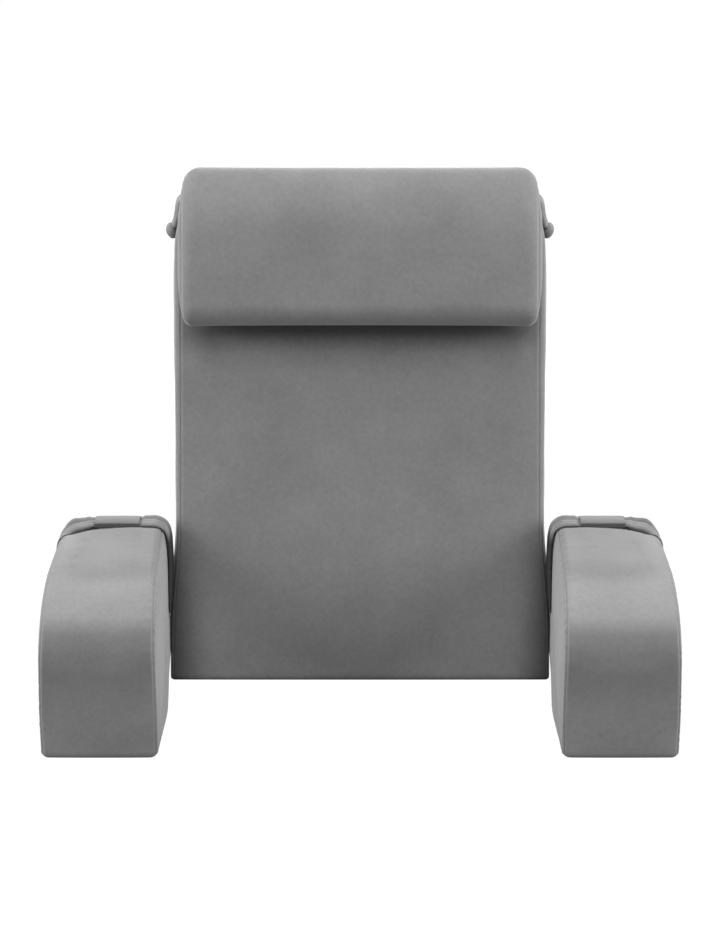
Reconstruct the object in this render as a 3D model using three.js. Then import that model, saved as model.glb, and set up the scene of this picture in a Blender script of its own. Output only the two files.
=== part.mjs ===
// Backrest pillow of velvety cloth over foam, in millimetres.
// +X is to the right, the front faces -Y and +Z is up; the origin lies under the middle, on the floor.
// A reclined wedge stands between two rounded arm blocks. A bolster leans on the top of the wedge,
// held at each end by a tie that is knotted at the side. A grip strap with a keeper crosses each arm.
import * as THREE from "three";

// Depth positions in the tables are measured back from the front of the arms.
const FRONT_OF_ARMS = -235;

// Sewn pads: how a corner is rounded, and the stations across a side panel, its sewn edge and the strip.
const FILLET_PULL = 0.56;
const PANEL_SHARES = [0.3, 0.58, 0.8, 0.93];
const PANEL_FLATNESS = 6;
const EDGE_STATIONS = [
  { angle: THREE.MathUtils.degToRad(90), pinch: 0 },
  { angle: THREE.MathUtils.degToRad(64), pinch: 0 },
  { angle: THREE.MathUtils.degToRad(40), pinch: 1.2 },
  { angle: THREE.MathUtils.degToRad(18), pinch: 0.2 },
];
const PINCH_ACROSS = 0.5;
const STRIP_SHARES = [-1, -0.72, -0.38, 0, 0.38, 0.72, 1];

// Wedge of the back: the front face leans back by this run for each millimetre of height.
const RECLINE = 0.2217;
const BACK_FOOT_DEPTH = 233.5;
const BACK_REAR_DEPTH = 470;
const BACK_HEIGHT = 632;
const BACK_SIDE_CROWN = 2.6;
const BACK_MIDDLE = { depth: 380, z: 330 };

// Arm block on the right; the left one is its mirror image.
const ARM_INNER = 251;
const ARM_OUTER = 396;
const ARM_HEIGHT = 213;
const ARM_LENGTH = 324;
const ARM_REAR_BULGE = 2;
const ARM_REAR_FALL = 17.6;
const ARM_SIDE_CROWN = 2;
const ARM_MIDDLE = { depth: 165, z: 96 };

// Bolster: its base line and size along the reclined face, and its thickness off that face.
const BOLSTER_START = 477;
const BOLSTER_HEIGHT = 199;
const BOLSTER_THICKNESS = 96;
const BOLSTER_HALF = 226;
const BOLSTER_BACK = 1.2;
const BOLSTER_END_CROWN = 5;
const BOLSTER_MIDDLE_SHARE = { up: 0.48, out: 0.5 };

// Grip strap over the rear of the arm, and the keeper around its middle.
const STRAP_DEPTH = 266;
const STRAP_LEAN = THREE.MathUtils.degToRad(10);
const STRAP_BASE = 208.1;
const KEEPER_LENGTH = 60;
const KEEPER_THICKNESS = 1.5;
const KEEPER_CENTRE = 315;
const KEEPER_LIFT = 3.4;
const KEEPER_CLEARANCE = 0.4;

// Knot of the tie at the right-hand end of the bolster.
const KNOT_CENTRE = { x: 246.2, depth: 404, z: 567 };
const KNOT_SIZE = { across: 5.8, along: 8.6, up: 12.2 };
const KNOT_TILT = THREE.MathUtils.degToRad(24);
const KNOT_ROLL = THREE.MathUtils.degToRad(10);

const CLOTH = { color: 0x7f7f7f, roughness: 0.9, metalness: 0 };

const mix = (a, b, t) => a + (b - a) * t;

// Closed outline with a cubic fillet at each row of a table, and the row's values carried along it.
// before and after are the lengths that the fillet takes from the edges on each side of the row.
function outlineOf(rows, { filletSteps, edgeStep }) {
  const values = (row) => [row.crown, row.low, row.high, row.lowRound, row.highRound, row.fall ?? 0];
  const blend = (a, b, t) => a.map((v, i) => mix(v, b[i], t));
  const points = [];
  rows.forEach((row, i) => {
    const before = rows[(i + rows.length - 1) % rows.length];
    const after = rows[(i + 1) % rows.length];
    const corner = new THREE.Vector2(row.depth, row.z);
    const toward = (other, length) =>
      new THREE.Vector2(other.depth, other.z).sub(corner).setLength(length).add(corner);
    const start = row.before > 0 ? toward(before, row.before) : corner.clone();
    const end = row.after > 0 ? toward(after, row.after) : corner.clone();
    if (row.before > 0) {
      const curve = new THREE.CubicBezierCurve(
        start,
        start.clone().lerp(corner, FILLET_PULL),
        end.clone().lerp(corner, FILLET_PULL),
        end,
      );
      const steps = row.steps ?? filletSteps;
      for (let k = 0; k < steps; k += 1) {
        points.push({ at: curve.getPoint(k / steps), values: values(row) });
      }
    }
    const nextCorner = new THREE.Vector2(after.depth, after.z);
    const stop =
      after.before > 0
        ? corner.clone().sub(nextCorner).setLength(after.before).add(nextCorner)
        : nextCorner;
    const span = end.distanceTo(stop);
    const pieces = Math.max(1, Math.round(span / edgeStep));
    for (let k = 0; k < pieces; k += 1) {
      points.push({
        at: end.clone().lerp(stop, k / pieces),
        values: blend(values(row), values(after), k / pieces),
      });
    }
  });
  return points.map((point, i) => {
    const previous = points[(i + points.length - 1) % points.length].at;
    const next = points[(i + 1) % points.length].at;
    const along = next.clone().sub(previous).normalize();
    const [crown, low, high, lowRound, highRound, fall] = point.values;
    return {
      at: point.at,
      outward: new THREE.Vector2(-along.y, along.x),
      crown,
      side: [low, high],
      round: [lowRound, highRound],
      fall,
    };
  });
}

// Rings across a padded body: one side panel, its rounded seam, the crowned strip and the other side.
function paddedRings(outline, sideCrown, middle, panelSide) {
  const middlePoint = new THREE.Vector2(middle.depth, middle.z);
  const ringOf = (place) =>
    outline.map((point) => {
      const { x, inset, share } = place(point);
      const at = point.at.clone().addScaledVector(point.outward, -inset).lerp(middlePoint, share);
      return new THREE.Vector3(x, at.x, at.y);
    });
  const panel = (side) =>
    PANEL_SHARES.map((share) =>
      ringOf((point) => {
        const at = point.at.clone().lerp(middlePoint, 1 - share);
        const bulge = sideCrown * (1 - share ** PANEL_FLATNESS);
        return {
          x: panelSide(side, at, point, share) + (side ? bulge : -bulge),
          inset: point.round[side] + side * point.fall,
          share: 1 - share,
        };
      }),
    );
  const edge = (side) =>
    EDGE_STATIONS.map(({ angle, pinch }) =>
      ringOf((point) => {
        const radius = point.round[side];
        const inward = radius * (1 - Math.sin(angle)) + pinch * PINCH_ACROSS;
        return {
          x: point.side[side] + (side ? -inward : inward),
          inset: radius * (1 - Math.cos(angle)) + pinch + side * point.fall,
          share: 0,
        };
      }),
    );
  const strip = STRIP_SHARES.map((share) =>
    ringOf((point) => {
      const left = point.side[0] + point.round[0];
      const right = point.side[1] - point.round[1];
      return {
        x: mix(left, right, (share + 1) / 2),
        inset: (point.fall * (share + 1)) / 2 - point.crown * (1 - share * share),
        share: 0,
      };
    }),
  );
  const tip = (side) => {
    const x = panelSide(side, middlePoint, outline[0], 0) + (side ? sideCrown : -sideCrown);
    return new THREE.Vector3(x, middle.depth, middle.z);
  };
  return {
    rings: [...panel(0), ...edge(0), ...strip, ...edge(1).reverse(), ...panel(1).reverse()],
    tips: [tip(0), tip(1)],
  };
}

// Side panel of a body whose sides vary little: its mean place blended into the edge of the panel.
function evenPanel(outline) {
  const mean = (side) =>
    outline.reduce((sum, point) => sum + point.side[side], 0) / outline.length;
  return (side, at, point, share) => mix(mean(side), point.side[side], share);
}

// Closed surface through rings that each hold the same number of points.
// With tips it ends in a fan at each end; without them the last ring joins the first.
function skinOf({ rings, tips }) {
  const count = rings[0].length;
  const points = rings.flat();
  const faces = [];
  const last = tips ? rings.length - 1 : rings.length;
  for (let r = 0; r < last; r += 1) {
    const here = r * count;
    const there = ((r + 1) % rings.length) * count;
    for (let k = 0; k < count; k += 1) {
      const next = (k + 1) % count;
      faces.push(here + k, there + k, there + next);
      faces.push(here + k, there + next, here + next);
    }
  }
  if (tips) {
    const first = points.push(tips[0]) - 1;
    const final = points.push(tips[1]) - 1;
    const end = (rings.length - 1) * count;
    for (let k = 0; k < count; k += 1) {
      const next = (k + 1) % count;
      faces.push(first, k, next);
      faces.push(final, end + next, end + k);
    }
  }
  const skin = new THREE.BufferGeometry().setFromPoints(points);
  skin.setIndex(faces);
  return skin;
}

function volumeOf(skin) {
  const places = skin.attributes.position;
  const corner = (i) => new THREE.Vector3().fromBufferAttribute(places, skin.index.getX(i));
  let total = 0;
  for (let i = 0; i < skin.index.count; i += 3) {
    total += corner(i).dot(corner(i + 1).cross(corner(i + 2))) / 6;
  }
  return total;
}

function turnedOutward(skin) {
  if (volumeOf(skin) > 0) {
    return skin;
  }
  const faces = Array.from(skin.index.array);
  for (let i = 0; i < faces.length; i += 3) {
    [faces[i + 1], faces[i + 2]] = [faces[i + 2], faces[i + 1]];
  }
  skin.setIndex(faces);
  return skin;
}

const group = new THREE.Group();

function addNode(name, skin) {
  const mesh = new THREE.Mesh(turnedOutward(skin), new THREE.MeshStandardMaterial(CLOTH));
  mesh.name = name;
  group.add(mesh);
}

// Adds a skin on the right and its mirror image on the left, both moved into the part's frame.
function addPair(name, skin) {
  skin.translate(0, FRONT_OF_ARMS, 0);
  addNode(name + "_right", skin);
  addNode(name + "_left", skin.clone().scale(-1, 1, 1));
}

// Wedge of the back.
const faceDepth = (z) => BACK_FOOT_DEPTH + RECLINE * z;
const BACK_SIDES = {
  foot: { z: 0, half: 248.9, round: 5 },
  low: { z: 70, half: 248.9, round: 6 },
  besideArm: { z: 110, half: 246.8, round: 6 },
  underStrap: { z: 150, half: 242, round: 6 },
  strapTop: { z: 190, half: 239.8, round: 7 },
  underBolster: { z: 440, half: 240.8, round: 11 },
  underTie: { z: 566, half: 240.5, round: 12 },
  tied: { z: 594, half: 235, round: 16 },
  top: { z: BACK_HEIGHT, half: 231.5, round: 24 },
};
function backHalf(z) {
  const levels = Object.values(BACK_SIDES);
  const above = levels.find((level) => level.z >= z) ?? levels.at(-1);
  const below = levels[Math.max(0, levels.indexOf(above) - 1)];
  const share = above === below ? 0 : (z - below.z) / (above.z - below.z);
  return mix(below.half, above.half, THREE.MathUtils.clamp(share, 0, 1));
}
const backRow = ({ z, half, round }, depth, crown) => ({
  depth,
  z,
  before: 0,
  after: 0,
  crown,
  low: -half,
  high: half,
  lowRound: round,
  highRound: round,
});
const backFront = (side, crown) => backRow(side, faceDepth(side.z), crown);
const backRear = (side, crown) => backRow(side, BACK_REAR_DEPTH, crown);
const backTable = [
  { ...backFront(BACK_SIDES.foot, 0), before: 9, after: 8, steps: 3 },
  backFront(BACK_SIDES.low, 3),
  backFront(BACK_SIDES.besideArm, 5),
  backFront(BACK_SIDES.underStrap, 6),
  backFront(BACK_SIDES.strapTop, 7),
  backFront(BACK_SIDES.underBolster, 6),
  backFront(BACK_SIDES.underTie, 3.8),
  backFront(BACK_SIDES.tied, 3.4),
  { ...backFront(BACK_SIDES.top, 3), before: 34, after: 30, steps: 4 },
  { ...backRear(BACK_SIDES.top, 3), before: 36, after: 44, steps: 5 },
  backRear(BACK_SIDES.tied, 4),
  backRear(BACK_SIDES.underTie, 5),
  backRear(BACK_SIDES.underBolster, 6),
  backRear(BACK_SIDES.strapTop, 6),
  backRear(BACK_SIDES.underStrap, 6),
  backRear(BACK_SIDES.besideArm, 5),
  backRear(BACK_SIDES.low, 4),
  { ...backRear(BACK_SIDES.foot, 0), before: 10, after: 9, steps: 3 },
];
const backPanel = (side, at) => (side ? backHalf(at.y) : -backHalf(at.y));
const backOutline = outlineOf(backTable, { filletSteps: 4, edgeStep: 64 });
const back = skinOf(paddedRings(backOutline, BACK_SIDE_CROWN, BACK_MIDDLE, backPanel));
back.translate(0, FRONT_OF_ARMS, 0);
addNode("backrest", back);

// Arm block.
const armRow = (depth, z, crown, fall, inner, outer) => ({
  depth,
  z,
  before: 0,
  after: 0,
  crown,
  fall,
  low: ARM_INNER + inner.in,
  high: ARM_OUTER - outer.in,
  lowRound: inner.round,
  highRound: outer.round,
});
const armTable = [
  { ...armRow(0, 0, 0, 0, { in: -0.4, round: 12 }, { in: -0.6, round: 11 }), before: 8, after: 7, steps: 3 },
  armRow(-3, 55, 2.5, 0, { in: -0.6, round: 7 }, { in: -0.8, round: 6 }),
  {
    ...armRow(-4, ARM_HEIGHT, 3.5, 1.5, { in: 0.5, round: 12 }, { in: 0, round: 14 }),
    before: 104,
    after: 128,
    steps: 11,
  },
  armRow(180, ARM_HEIGHT + 1, 3, 7, { in: 1, round: 14 }, { in: 3.4, round: 17 }),
  armRow(243, ARM_HEIGHT, 3, 9, { in: 2, round: 14 }, { in: 6, round: 15 }),
  {
    ...armRow(
      ARM_LENGTH + ARM_REAR_BULGE,
      ARM_HEIGHT - ARM_REAR_FALL,
      3,
      7,
      { in: 2.4, round: 15 },
      { in: 9, round: 20 },
    ),
    before: 36,
    after: 70,
    steps: 7,
  },
  armRow(ARM_LENGTH, 50, 3, 0, { in: 2.4, round: 10 }, { in: 7, round: 12 }),
  {
    ...armRow(ARM_LENGTH, 0, 0, 0, { in: 2.4, round: 12 }, { in: 7, round: 9 }),
    before: 10,
    after: 10,
    steps: 3,
  },
  armRow(240, 0, 0, 0, { in: 0.2, round: 8 }, { in: 1, round: 8 }),
  armRow(130, 0, 0, 0, { in: -4.8, round: 5 }, { in: -1, round: 6 }),
];
const armOutline = outlineOf(armTable, { filletSteps: 6, edgeStep: 52 });
addPair("arm", skinOf(paddedRings(armOutline, ARM_SIDE_CROWN, ARM_MIDDLE, evenPanel(armOutline))));

// Bolster: a table along the reclined face, turned into depth and height.
const faceLength = Math.hypot(1, RECLINE);
const faceUp = new THREE.Vector2(RECLINE / faceLength, 1 / faceLength);
const faceOut = new THREE.Vector2(-faceUp.y, faceUp.x);
const onFace = (up, out) =>
  new THREE.Vector2(BACK_FOOT_DEPTH, 0).addScaledVector(faceUp, up).addScaledVector(faceOut, out);
const bolsterRow = (up, out, crown, round) => {
  const at = onFace(BOLSTER_START + up, out);
  return {
    depth: at.x,
    z: at.y,
    before: 0,
    after: 0,
    crown,
    low: -BOLSTER_HALF,
    high: BOLSTER_HALF,
    lowRound: round,
    highRound: round,
  };
};
const bolsterTable = [
  { ...bolsterRow(0, BOLSTER_THICKNESS, 2, 14), before: 34, after: 36, steps: 5 },
  { ...bolsterRow(BOLSTER_HEIGHT, BOLSTER_THICKNESS, 2.5, 23), before: 84, after: 52, steps: 8 },
  { ...bolsterRow(BOLSTER_HEIGHT, BOLSTER_BACK, -2, 23), before: 34, after: 40, steps: 5 },
  { ...bolsterRow(0, BOLSTER_BACK, -6, 14), before: 22, after: 22, steps: 4 },
];
const bolsterCentre = onFace(
  BOLSTER_START + BOLSTER_HEIGHT * BOLSTER_MIDDLE_SHARE.up,
  BOLSTER_THICKNESS * BOLSTER_MIDDLE_SHARE.out,
);
const bolsterMiddle = { depth: bolsterCentre.x, z: bolsterCentre.y };
const bolsterOutline = outlineOf(bolsterTable, { filletSteps: 5, edgeStep: 44 });
const bolster = skinOf(
  paddedRings(bolsterOutline, BOLSTER_END_CROWN, bolsterMiddle, evenPanel(bolsterOutline)),
);
bolster.translate(0, FRONT_OF_ARMS, 0);
addNode("headrest", bolster);

// Grip strap: stations of the band in a leaning plane, from the inner end over the arm to the outer end.
// x and height place the underside of the band; half is half its width and thick its thickness.
const strapUp = new THREE.Vector2(Math.sin(STRAP_LEAN), Math.cos(STRAP_LEAN));
const strapAcross = new THREE.Vector2(Math.cos(STRAP_LEAN), -Math.sin(STRAP_LEAN));
const strapFoot = new THREE.Vector2(STRAP_DEPTH, STRAP_BASE);
const inStrapPlane = (x, height, across) => {
  const at = strapFoot
    .clone()
    .addScaledVector(strapUp, height)
    .addScaledVector(strapAcross, across);
  return new THREE.Vector3(x, at.x, at.y);
};
const KEPT_BAND = { half: 18.5, thick: 4 };
const strapTable = [
  { x: 250, height: -96, half: 20, thick: 2.2 },
  { x: 249.8, height: -78, half: 21, thick: 3.2 },
  { x: 249.6, height: -50, half: 21, thick: 4.6 },
  { x: 249.8, height: -26, half: 21.5, thick: 4.8 },
  { x: 250.6, height: -12, half: 22, thick: 5 },
  { x: 254.6, height: -2, half: 22, thick: 6 },
  { x: 264, height: 2, half: 22, thick: 8.4 },
  { x: 275, height: 3.2, half: 21, thick: 7.2 },
  { x: 282, height: KEEPER_LIFT, ...KEPT_BAND },
  { x: 289, height: KEEPER_LIFT, ...KEPT_BAND },
  { x: 315, height: KEEPER_LIFT, ...KEPT_BAND },
  { x: 341, height: KEEPER_LIFT, ...KEPT_BAND },
  { x: 348, height: KEEPER_LIFT, ...KEPT_BAND },
  { x: 354, height: 1.2, half: 21, thick: 9 },
  { x: 361, height: -1.8, half: 22, thick: 11.4 },
  { x: 369, height: -4.6, half: 22.5, thick: 11.2 },
  { x: 378, height: -6.8, half: 22.5, thick: 7.4 },
  { x: 384.8, height: -10.8, half: 22.5, thick: 5 },
  { x: 389.4, height: -18.4, half: 22, thick: 4.2 },
  { x: 391.2, height: -34, half: 22, thick: 4 },
  { x: 391.6, height: -56, half: 21, thick: 3.4 },
];
const strapPath = new THREE.CatmullRomCurve3(
  strapTable.map(({ x, height }) => new THREE.Vector3(x, height, 0)),
  false,
  "centripetal",
);

// Half of the section of the band, as shares of its half width and height above its underside.
const BAND_SECTION = [
  { across: -0.84, up: 0 },
  { across: -1, up: 0.5 },
  { across: -0.86, up: 0.94 },
  { across: -0.48, up: 1.12 },
  { across: -0.1, up: 0.98 },
  { across: 0.0, up: 0.8 },
  { across: 0.1, up: 0.98 },
  { across: 0.48, up: 1.12 },
  { across: 0.86, up: 0.94 },
  { across: 1, up: 0.5 },
  { across: 0.84, up: 0 },
  { across: 0, up: 0 },
];
const BAND_RIDGE = 1.12;
const STRAP_STEPS_PER_STATION = 2;
const strapRings = [];
const strapStations = strapTable.length - 1;
for (let i = 0; i <= strapStations * STRAP_STEPS_PER_STATION; i += 1) {
  const place = i / STRAP_STEPS_PER_STATION;
  const before = strapTable[Math.floor(place)];
  const after = strapTable[Math.min(Math.ceil(place), strapStations)];
  const half = mix(before.half, after.half, place % 1);
  const thick = mix(before.thick, after.thick, place % 1);
  const at = strapPath.getPoint(place / strapStations);
  const along = strapPath.getTangent(place / strapStations);
  strapRings.push(
    BAND_SECTION.map(({ across, up }) =>
      inStrapPlane(at.x - along.y * thick * up, at.y + along.x * thick * up, across * half),
    ),
  );
}
const middleOf = (ring) =>
  ring.reduce((sum, point) => sum.add(point), new THREE.Vector3()).divideScalar(ring.length);
const endsOf = (rings) => [middleOf(rings[0]), middleOf(rings.at(-1))];
addPair("arm_strap", skinOf({ rings: strapRings, tips: endsOf(strapRings) }));

// Keeper: a short sleeve around the middle of the strap, squarish in section and thin at its ends.
const KEEPER_STEPS = 24;
const KEEPER_SQUARENESS = 0.34;
const keeperCore = {
  half: KEPT_BAND.half + 2 * KEEPER_CLEARANCE,
  rise: KEPT_BAND.thick * BAND_RIDGE + 3 * KEEPER_CLEARANCE,
};
const keeperMiddle = KEEPER_LIFT - 1.5 * KEEPER_CLEARANCE + keeperCore.rise / 2;
const keeperEnd = KEEPER_LENGTH / 2;
const keeperWall = [
  { x: -keeperEnd, growth: 0.3 },
  { x: -keeperEnd - 0.6, growth: 0.7 },
  { x: -keeperEnd + 2, growth: 1 },
  { x: 0, growth: 1.15 },
  { x: keeperEnd - 2, growth: 1 },
  { x: keeperEnd + 0.6, growth: 0.7 },
  { x: keeperEnd, growth: 0.3 },
  { x: keeperEnd - 1, growth: 0 },
  { x: -keeperEnd + 1, growth: 0 },
];
const squarish = (value) => Math.sign(value) * Math.abs(value) ** KEEPER_SQUARENESS;
const keeperRings = [];
for (let i = 0; i < KEEPER_STEPS; i += 1) {
  const angle = (i / KEEPER_STEPS) * Math.PI * 2;
  keeperRings.push(
    keeperWall.map(({ x, growth }) => {
      const grown = KEEPER_THICKNESS * growth;
      const across = (keeperCore.half + grown) * squarish(Math.cos(angle));
      const height = keeperMiddle + (keeperCore.rise / 2 + grown) * squarish(Math.sin(angle));
      return inStrapPlane(KEEPER_CENTRE + x, height, across);
    }),
  );
}
addPair("strap_keeper", skinOf({ rings: keeperRings }));

// Tie: a soft flat band from behind the end of the bolster, over the side of the back, to the knot.
const tieTable = [
  { x: 208, depth: 375.8, z: 627.2, wide: 11, thick: 5 },
  { x: 221.6, depth: 381, z: 625.4, wide: 13, thick: 5.4 },
  { x: 233.4, depth: 385.6, z: 619, wide: 17, thick: 6.4 },
  { x: 235.8, depth: 389.6, z: 609.4, wide: 20, thick: 8.2 },
  { x: 237.2, depth: 393, z: 599, wide: 20, thick: 8.4 },
  { x: 241.1, depth: 396.4, z: 588.6, wide: 18, thick: 5.8 },
  { x: 246.9, depth: 400, z: 579, wide: 12, thick: 4.6 },
];
const TIE_SIDES = 10;
const TIE_STEPS_PER_STATION = 2;
const TIE_LAY = new THREE.Vector3(0, 1, 0.2);
const tiePath = new THREE.CatmullRomCurve3(
  tieTable.map(({ x, depth, z }) => new THREE.Vector3(x, depth, z)),
);
const tieRings = [];
const tieStations = tieTable.length - 1;
for (let i = 0; i <= tieStations * TIE_STEPS_PER_STATION; i += 1) {
  const place = i / TIE_STEPS_PER_STATION;
  const before = tieTable[Math.floor(place)];
  const after = tieTable[Math.min(Math.ceil(place), tieStations)];
  const at = tiePath.getPoint(place / tieStations);
  const along = tiePath.getTangent(place / tieStations);
  const across = TIE_LAY.clone().cross(along).setLength(mix(before.thick, after.thick, place % 1) / 2);
  const over = across.clone().cross(along).setLength(mix(before.wide, after.wide, place % 1) / 2);
  const ring = [];
  for (let k = 0; k < TIE_SIDES; k += 1) {
    const angle = (k / TIE_SIDES) * Math.PI * 2;
    ring.push(
      at.clone().addScaledVector(across, Math.cos(angle)).addScaledVector(over, Math.sin(angle)),
    );
  }
  tieRings.push(ring);
}
addPair("tie", skinOf({ rings: tieRings, tips: endsOf(tieRings) }));

// Knot: a small tilted ball of wrapped cloth with a groove between its turns.
const KNOT_RINGS = 7;
const KNOT_SIDES = 12;
const KNOT_TURNS = 3;
const KNOT_RIDGE = 0.06;
const knotRings = [];
for (let i = 1; i < KNOT_RINGS; i += 1) {
  const rise = (i / KNOT_RINGS) * Math.PI;
  const ring = [];
  for (let k = 0; k < KNOT_SIDES; k += 1) {
    const angle = (k / KNOT_SIDES) * Math.PI * 2;
    const swell = Math.sin(rise) * (1 + KNOT_RIDGE * Math.cos(KNOT_TURNS * angle + 2 * rise));
    ring.push(
      new THREE.Vector3(
        KNOT_SIZE.across * swell * Math.cos(angle),
        KNOT_SIZE.along * swell * Math.sin(angle),
        KNOT_SIZE.up * Math.cos(rise),
      ),
    );
  }
  knotRings.push(ring);
}
const knot = skinOf({
  rings: knotRings,
  tips: [new THREE.Vector3(0, 0, KNOT_SIZE.up), new THREE.Vector3(0, 0, -KNOT_SIZE.up)],
});
knot.rotateX(KNOT_TILT);
knot.rotateY(KNOT_ROLL);
knot.translate(KNOT_CENTRE.x, KNOT_CENTRE.depth, KNOT_CENTRE.z);
addPair("tie_knot", knot);

export default group;
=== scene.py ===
"""Backrest pillow in grey velvet: a reclined back, a bolster, two arms with straps, and two knotted ties.

Sizes are in millimetres until a mesh is made, and depths are measured back from the front of the arms.
The arm, strap, keeper, tie and knot on the right are modelled, and the left ones are mirror images.
"""

import logging
import math
from collections.abc import Iterable
from dataclasses import dataclass, field, replace
from enum import Enum

import bpy
import numpy as np
from bpy.types import Material, Node, NodeSocket, NodeTree, Object
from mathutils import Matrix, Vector
from mathutils.bvhtree import BVHTree


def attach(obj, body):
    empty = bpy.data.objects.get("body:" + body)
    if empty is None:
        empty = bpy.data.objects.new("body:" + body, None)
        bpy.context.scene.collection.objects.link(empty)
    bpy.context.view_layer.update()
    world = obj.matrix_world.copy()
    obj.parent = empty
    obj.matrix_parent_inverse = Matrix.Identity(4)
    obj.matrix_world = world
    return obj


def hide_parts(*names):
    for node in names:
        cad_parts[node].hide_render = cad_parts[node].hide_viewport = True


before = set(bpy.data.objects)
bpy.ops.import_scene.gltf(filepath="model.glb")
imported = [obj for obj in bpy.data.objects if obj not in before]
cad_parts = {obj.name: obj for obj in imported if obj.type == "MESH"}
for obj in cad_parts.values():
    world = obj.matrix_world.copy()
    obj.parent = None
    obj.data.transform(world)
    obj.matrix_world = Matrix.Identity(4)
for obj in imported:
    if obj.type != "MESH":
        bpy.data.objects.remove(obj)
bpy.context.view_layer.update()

LOG = logging.getLogger("backrest_pillow")
MM = 0.001
BODY = "root"
FRONT_OF_ARMS = -235.0
SINKS_AT_MOST = 12.0
SEAM = "seam"
HEM = "hem"
NO_SEAM = 100.0
FAR_FROM_HEM = 1000.0
FACES_FRONT = (0.35, 1.0)
RIPPLE_PARTS = 14
RIPPLE_SPREAD = (0.45, 1.6)
PATH_FINENESS = 12
# How much painted shade a point of a piece gets, from 0 to 1, held as a point attribute.
PAINTED_SHADE = "painted_shade"


class Side(Enum):
    """The side of the pillow that one of a pair of pieces is on."""

    RIGHT = 1
    LEFT = -1

    @property
    def word(self) -> str:
        """The end of the name of a piece on this side."""
        return self.name.lower()


class Slot(Enum):
    """The places of the record where a finish goes."""

    BACK = "back_velvet"
    HEADREST = "headrest_velvet"
    ARM = "arm_velvet"
    STRAP = "strap_velvet"
    TIE = "tie_velvet"


# Finishes


def linear_colour(hex_code: str) -> tuple[float, float, float, float]:
    """Turn an sRGB hex colour into the linear colour that a shader takes.

    Args:
        hex_code: Six hex digits, with or without a leading hash.

    Returns:
        Red, green, blue and an alpha of one.
    """
    digits = hex_code.lstrip("#")
    channels = [int(digits[i : i + 2], 16) / 255 for i in (0, 2, 4)]
    linear = [c / 12.92 if c <= 0.04045 else ((c + 0.055) / 1.055) ** 2.4 for c in channels]
    return (linear[0], linear[1], linear[2], 1.0)


def add_node(tree: NodeTree, kind: str, settings: dict | None = None, links: dict | None = None) -> Node:
    """Add a node with its settings and what is linked into it.

    Args:
        tree: The node tree that gets the node.
        kind: Blender's name of the node type.
        settings: Property names, or input names or numbers, with their values.
        links: Input names or numbers, with the output socket that feeds each.

    Returns:
        The new node.
    """
    node = tree.nodes.new(kind)
    for key, value in (settings or {}).items():
        if isinstance(key, int) or key in node.inputs:
            node.inputs[key].default_value = value
        else:
            setattr(node, key, value)
    for key, output in (links or {}).items():
        tree.links.new(output, node.inputs[key])
    return node


def mixed(tree: NodeTree, share: NodeSocket, first: str | NodeSocket, second: str) -> NodeSocket:
    """Mix two colours, each a hex colour or a socket, by the share of the second.

    Args:
        tree: The material's node tree.
        share: How much of the second colour is taken, from 0 to 1.
        first: The colour at a share of 0.
        second: The colour at a share of 1.

    Returns:
        The socket with the mixed colour.
    """
    settings, links = {"data_type": "RGBA", 7: linear_colour(second)}, {0: share}
    if isinstance(first, str):
        settings[6] = linear_colour(first)
    else:
        links[6] = first
    return add_node(tree, "ShaderNodeMix", settings, links).outputs[2]


def mapped(tree: NodeTree, value: NodeSocket, settings: dict[str, object]) -> NodeSocket:
    """Carry a value from one range to another, as the settings say."""
    return add_node(tree, "ShaderNodeMapRange", settings, {"Value": value}).outputs["Result"]


def calculated(tree: NodeTree, operation: str, inputs: dict[int, float | NodeSocket]) -> NodeSocket:
    """The result of a Math node whose inputs are numbers or sockets.

    Args:
        tree: The node tree that gets the node.
        operation: Blender's name of the operation.
        inputs: What goes into each numbered input.

    Returns:
        The socket with the result.
    """
    settings = {number: value for number, value in inputs.items() if isinstance(value, float)}
    links = {number: value for number, value in inputs.items() if not isinstance(value, float)}
    return add_node(tree, "ShaderNodeMath", {"operation": operation, **settings}, links).outputs[0]


def empty_material(name: str) -> Material:
    """A material whose node tree is still empty.

    Args:
        name: Name of the material.

    Returns:
        The material.
    """
    made = bpy.data.materials.new(name)
    made.use_nodes = True
    made.node_tree.nodes.clear()
    return made


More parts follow.
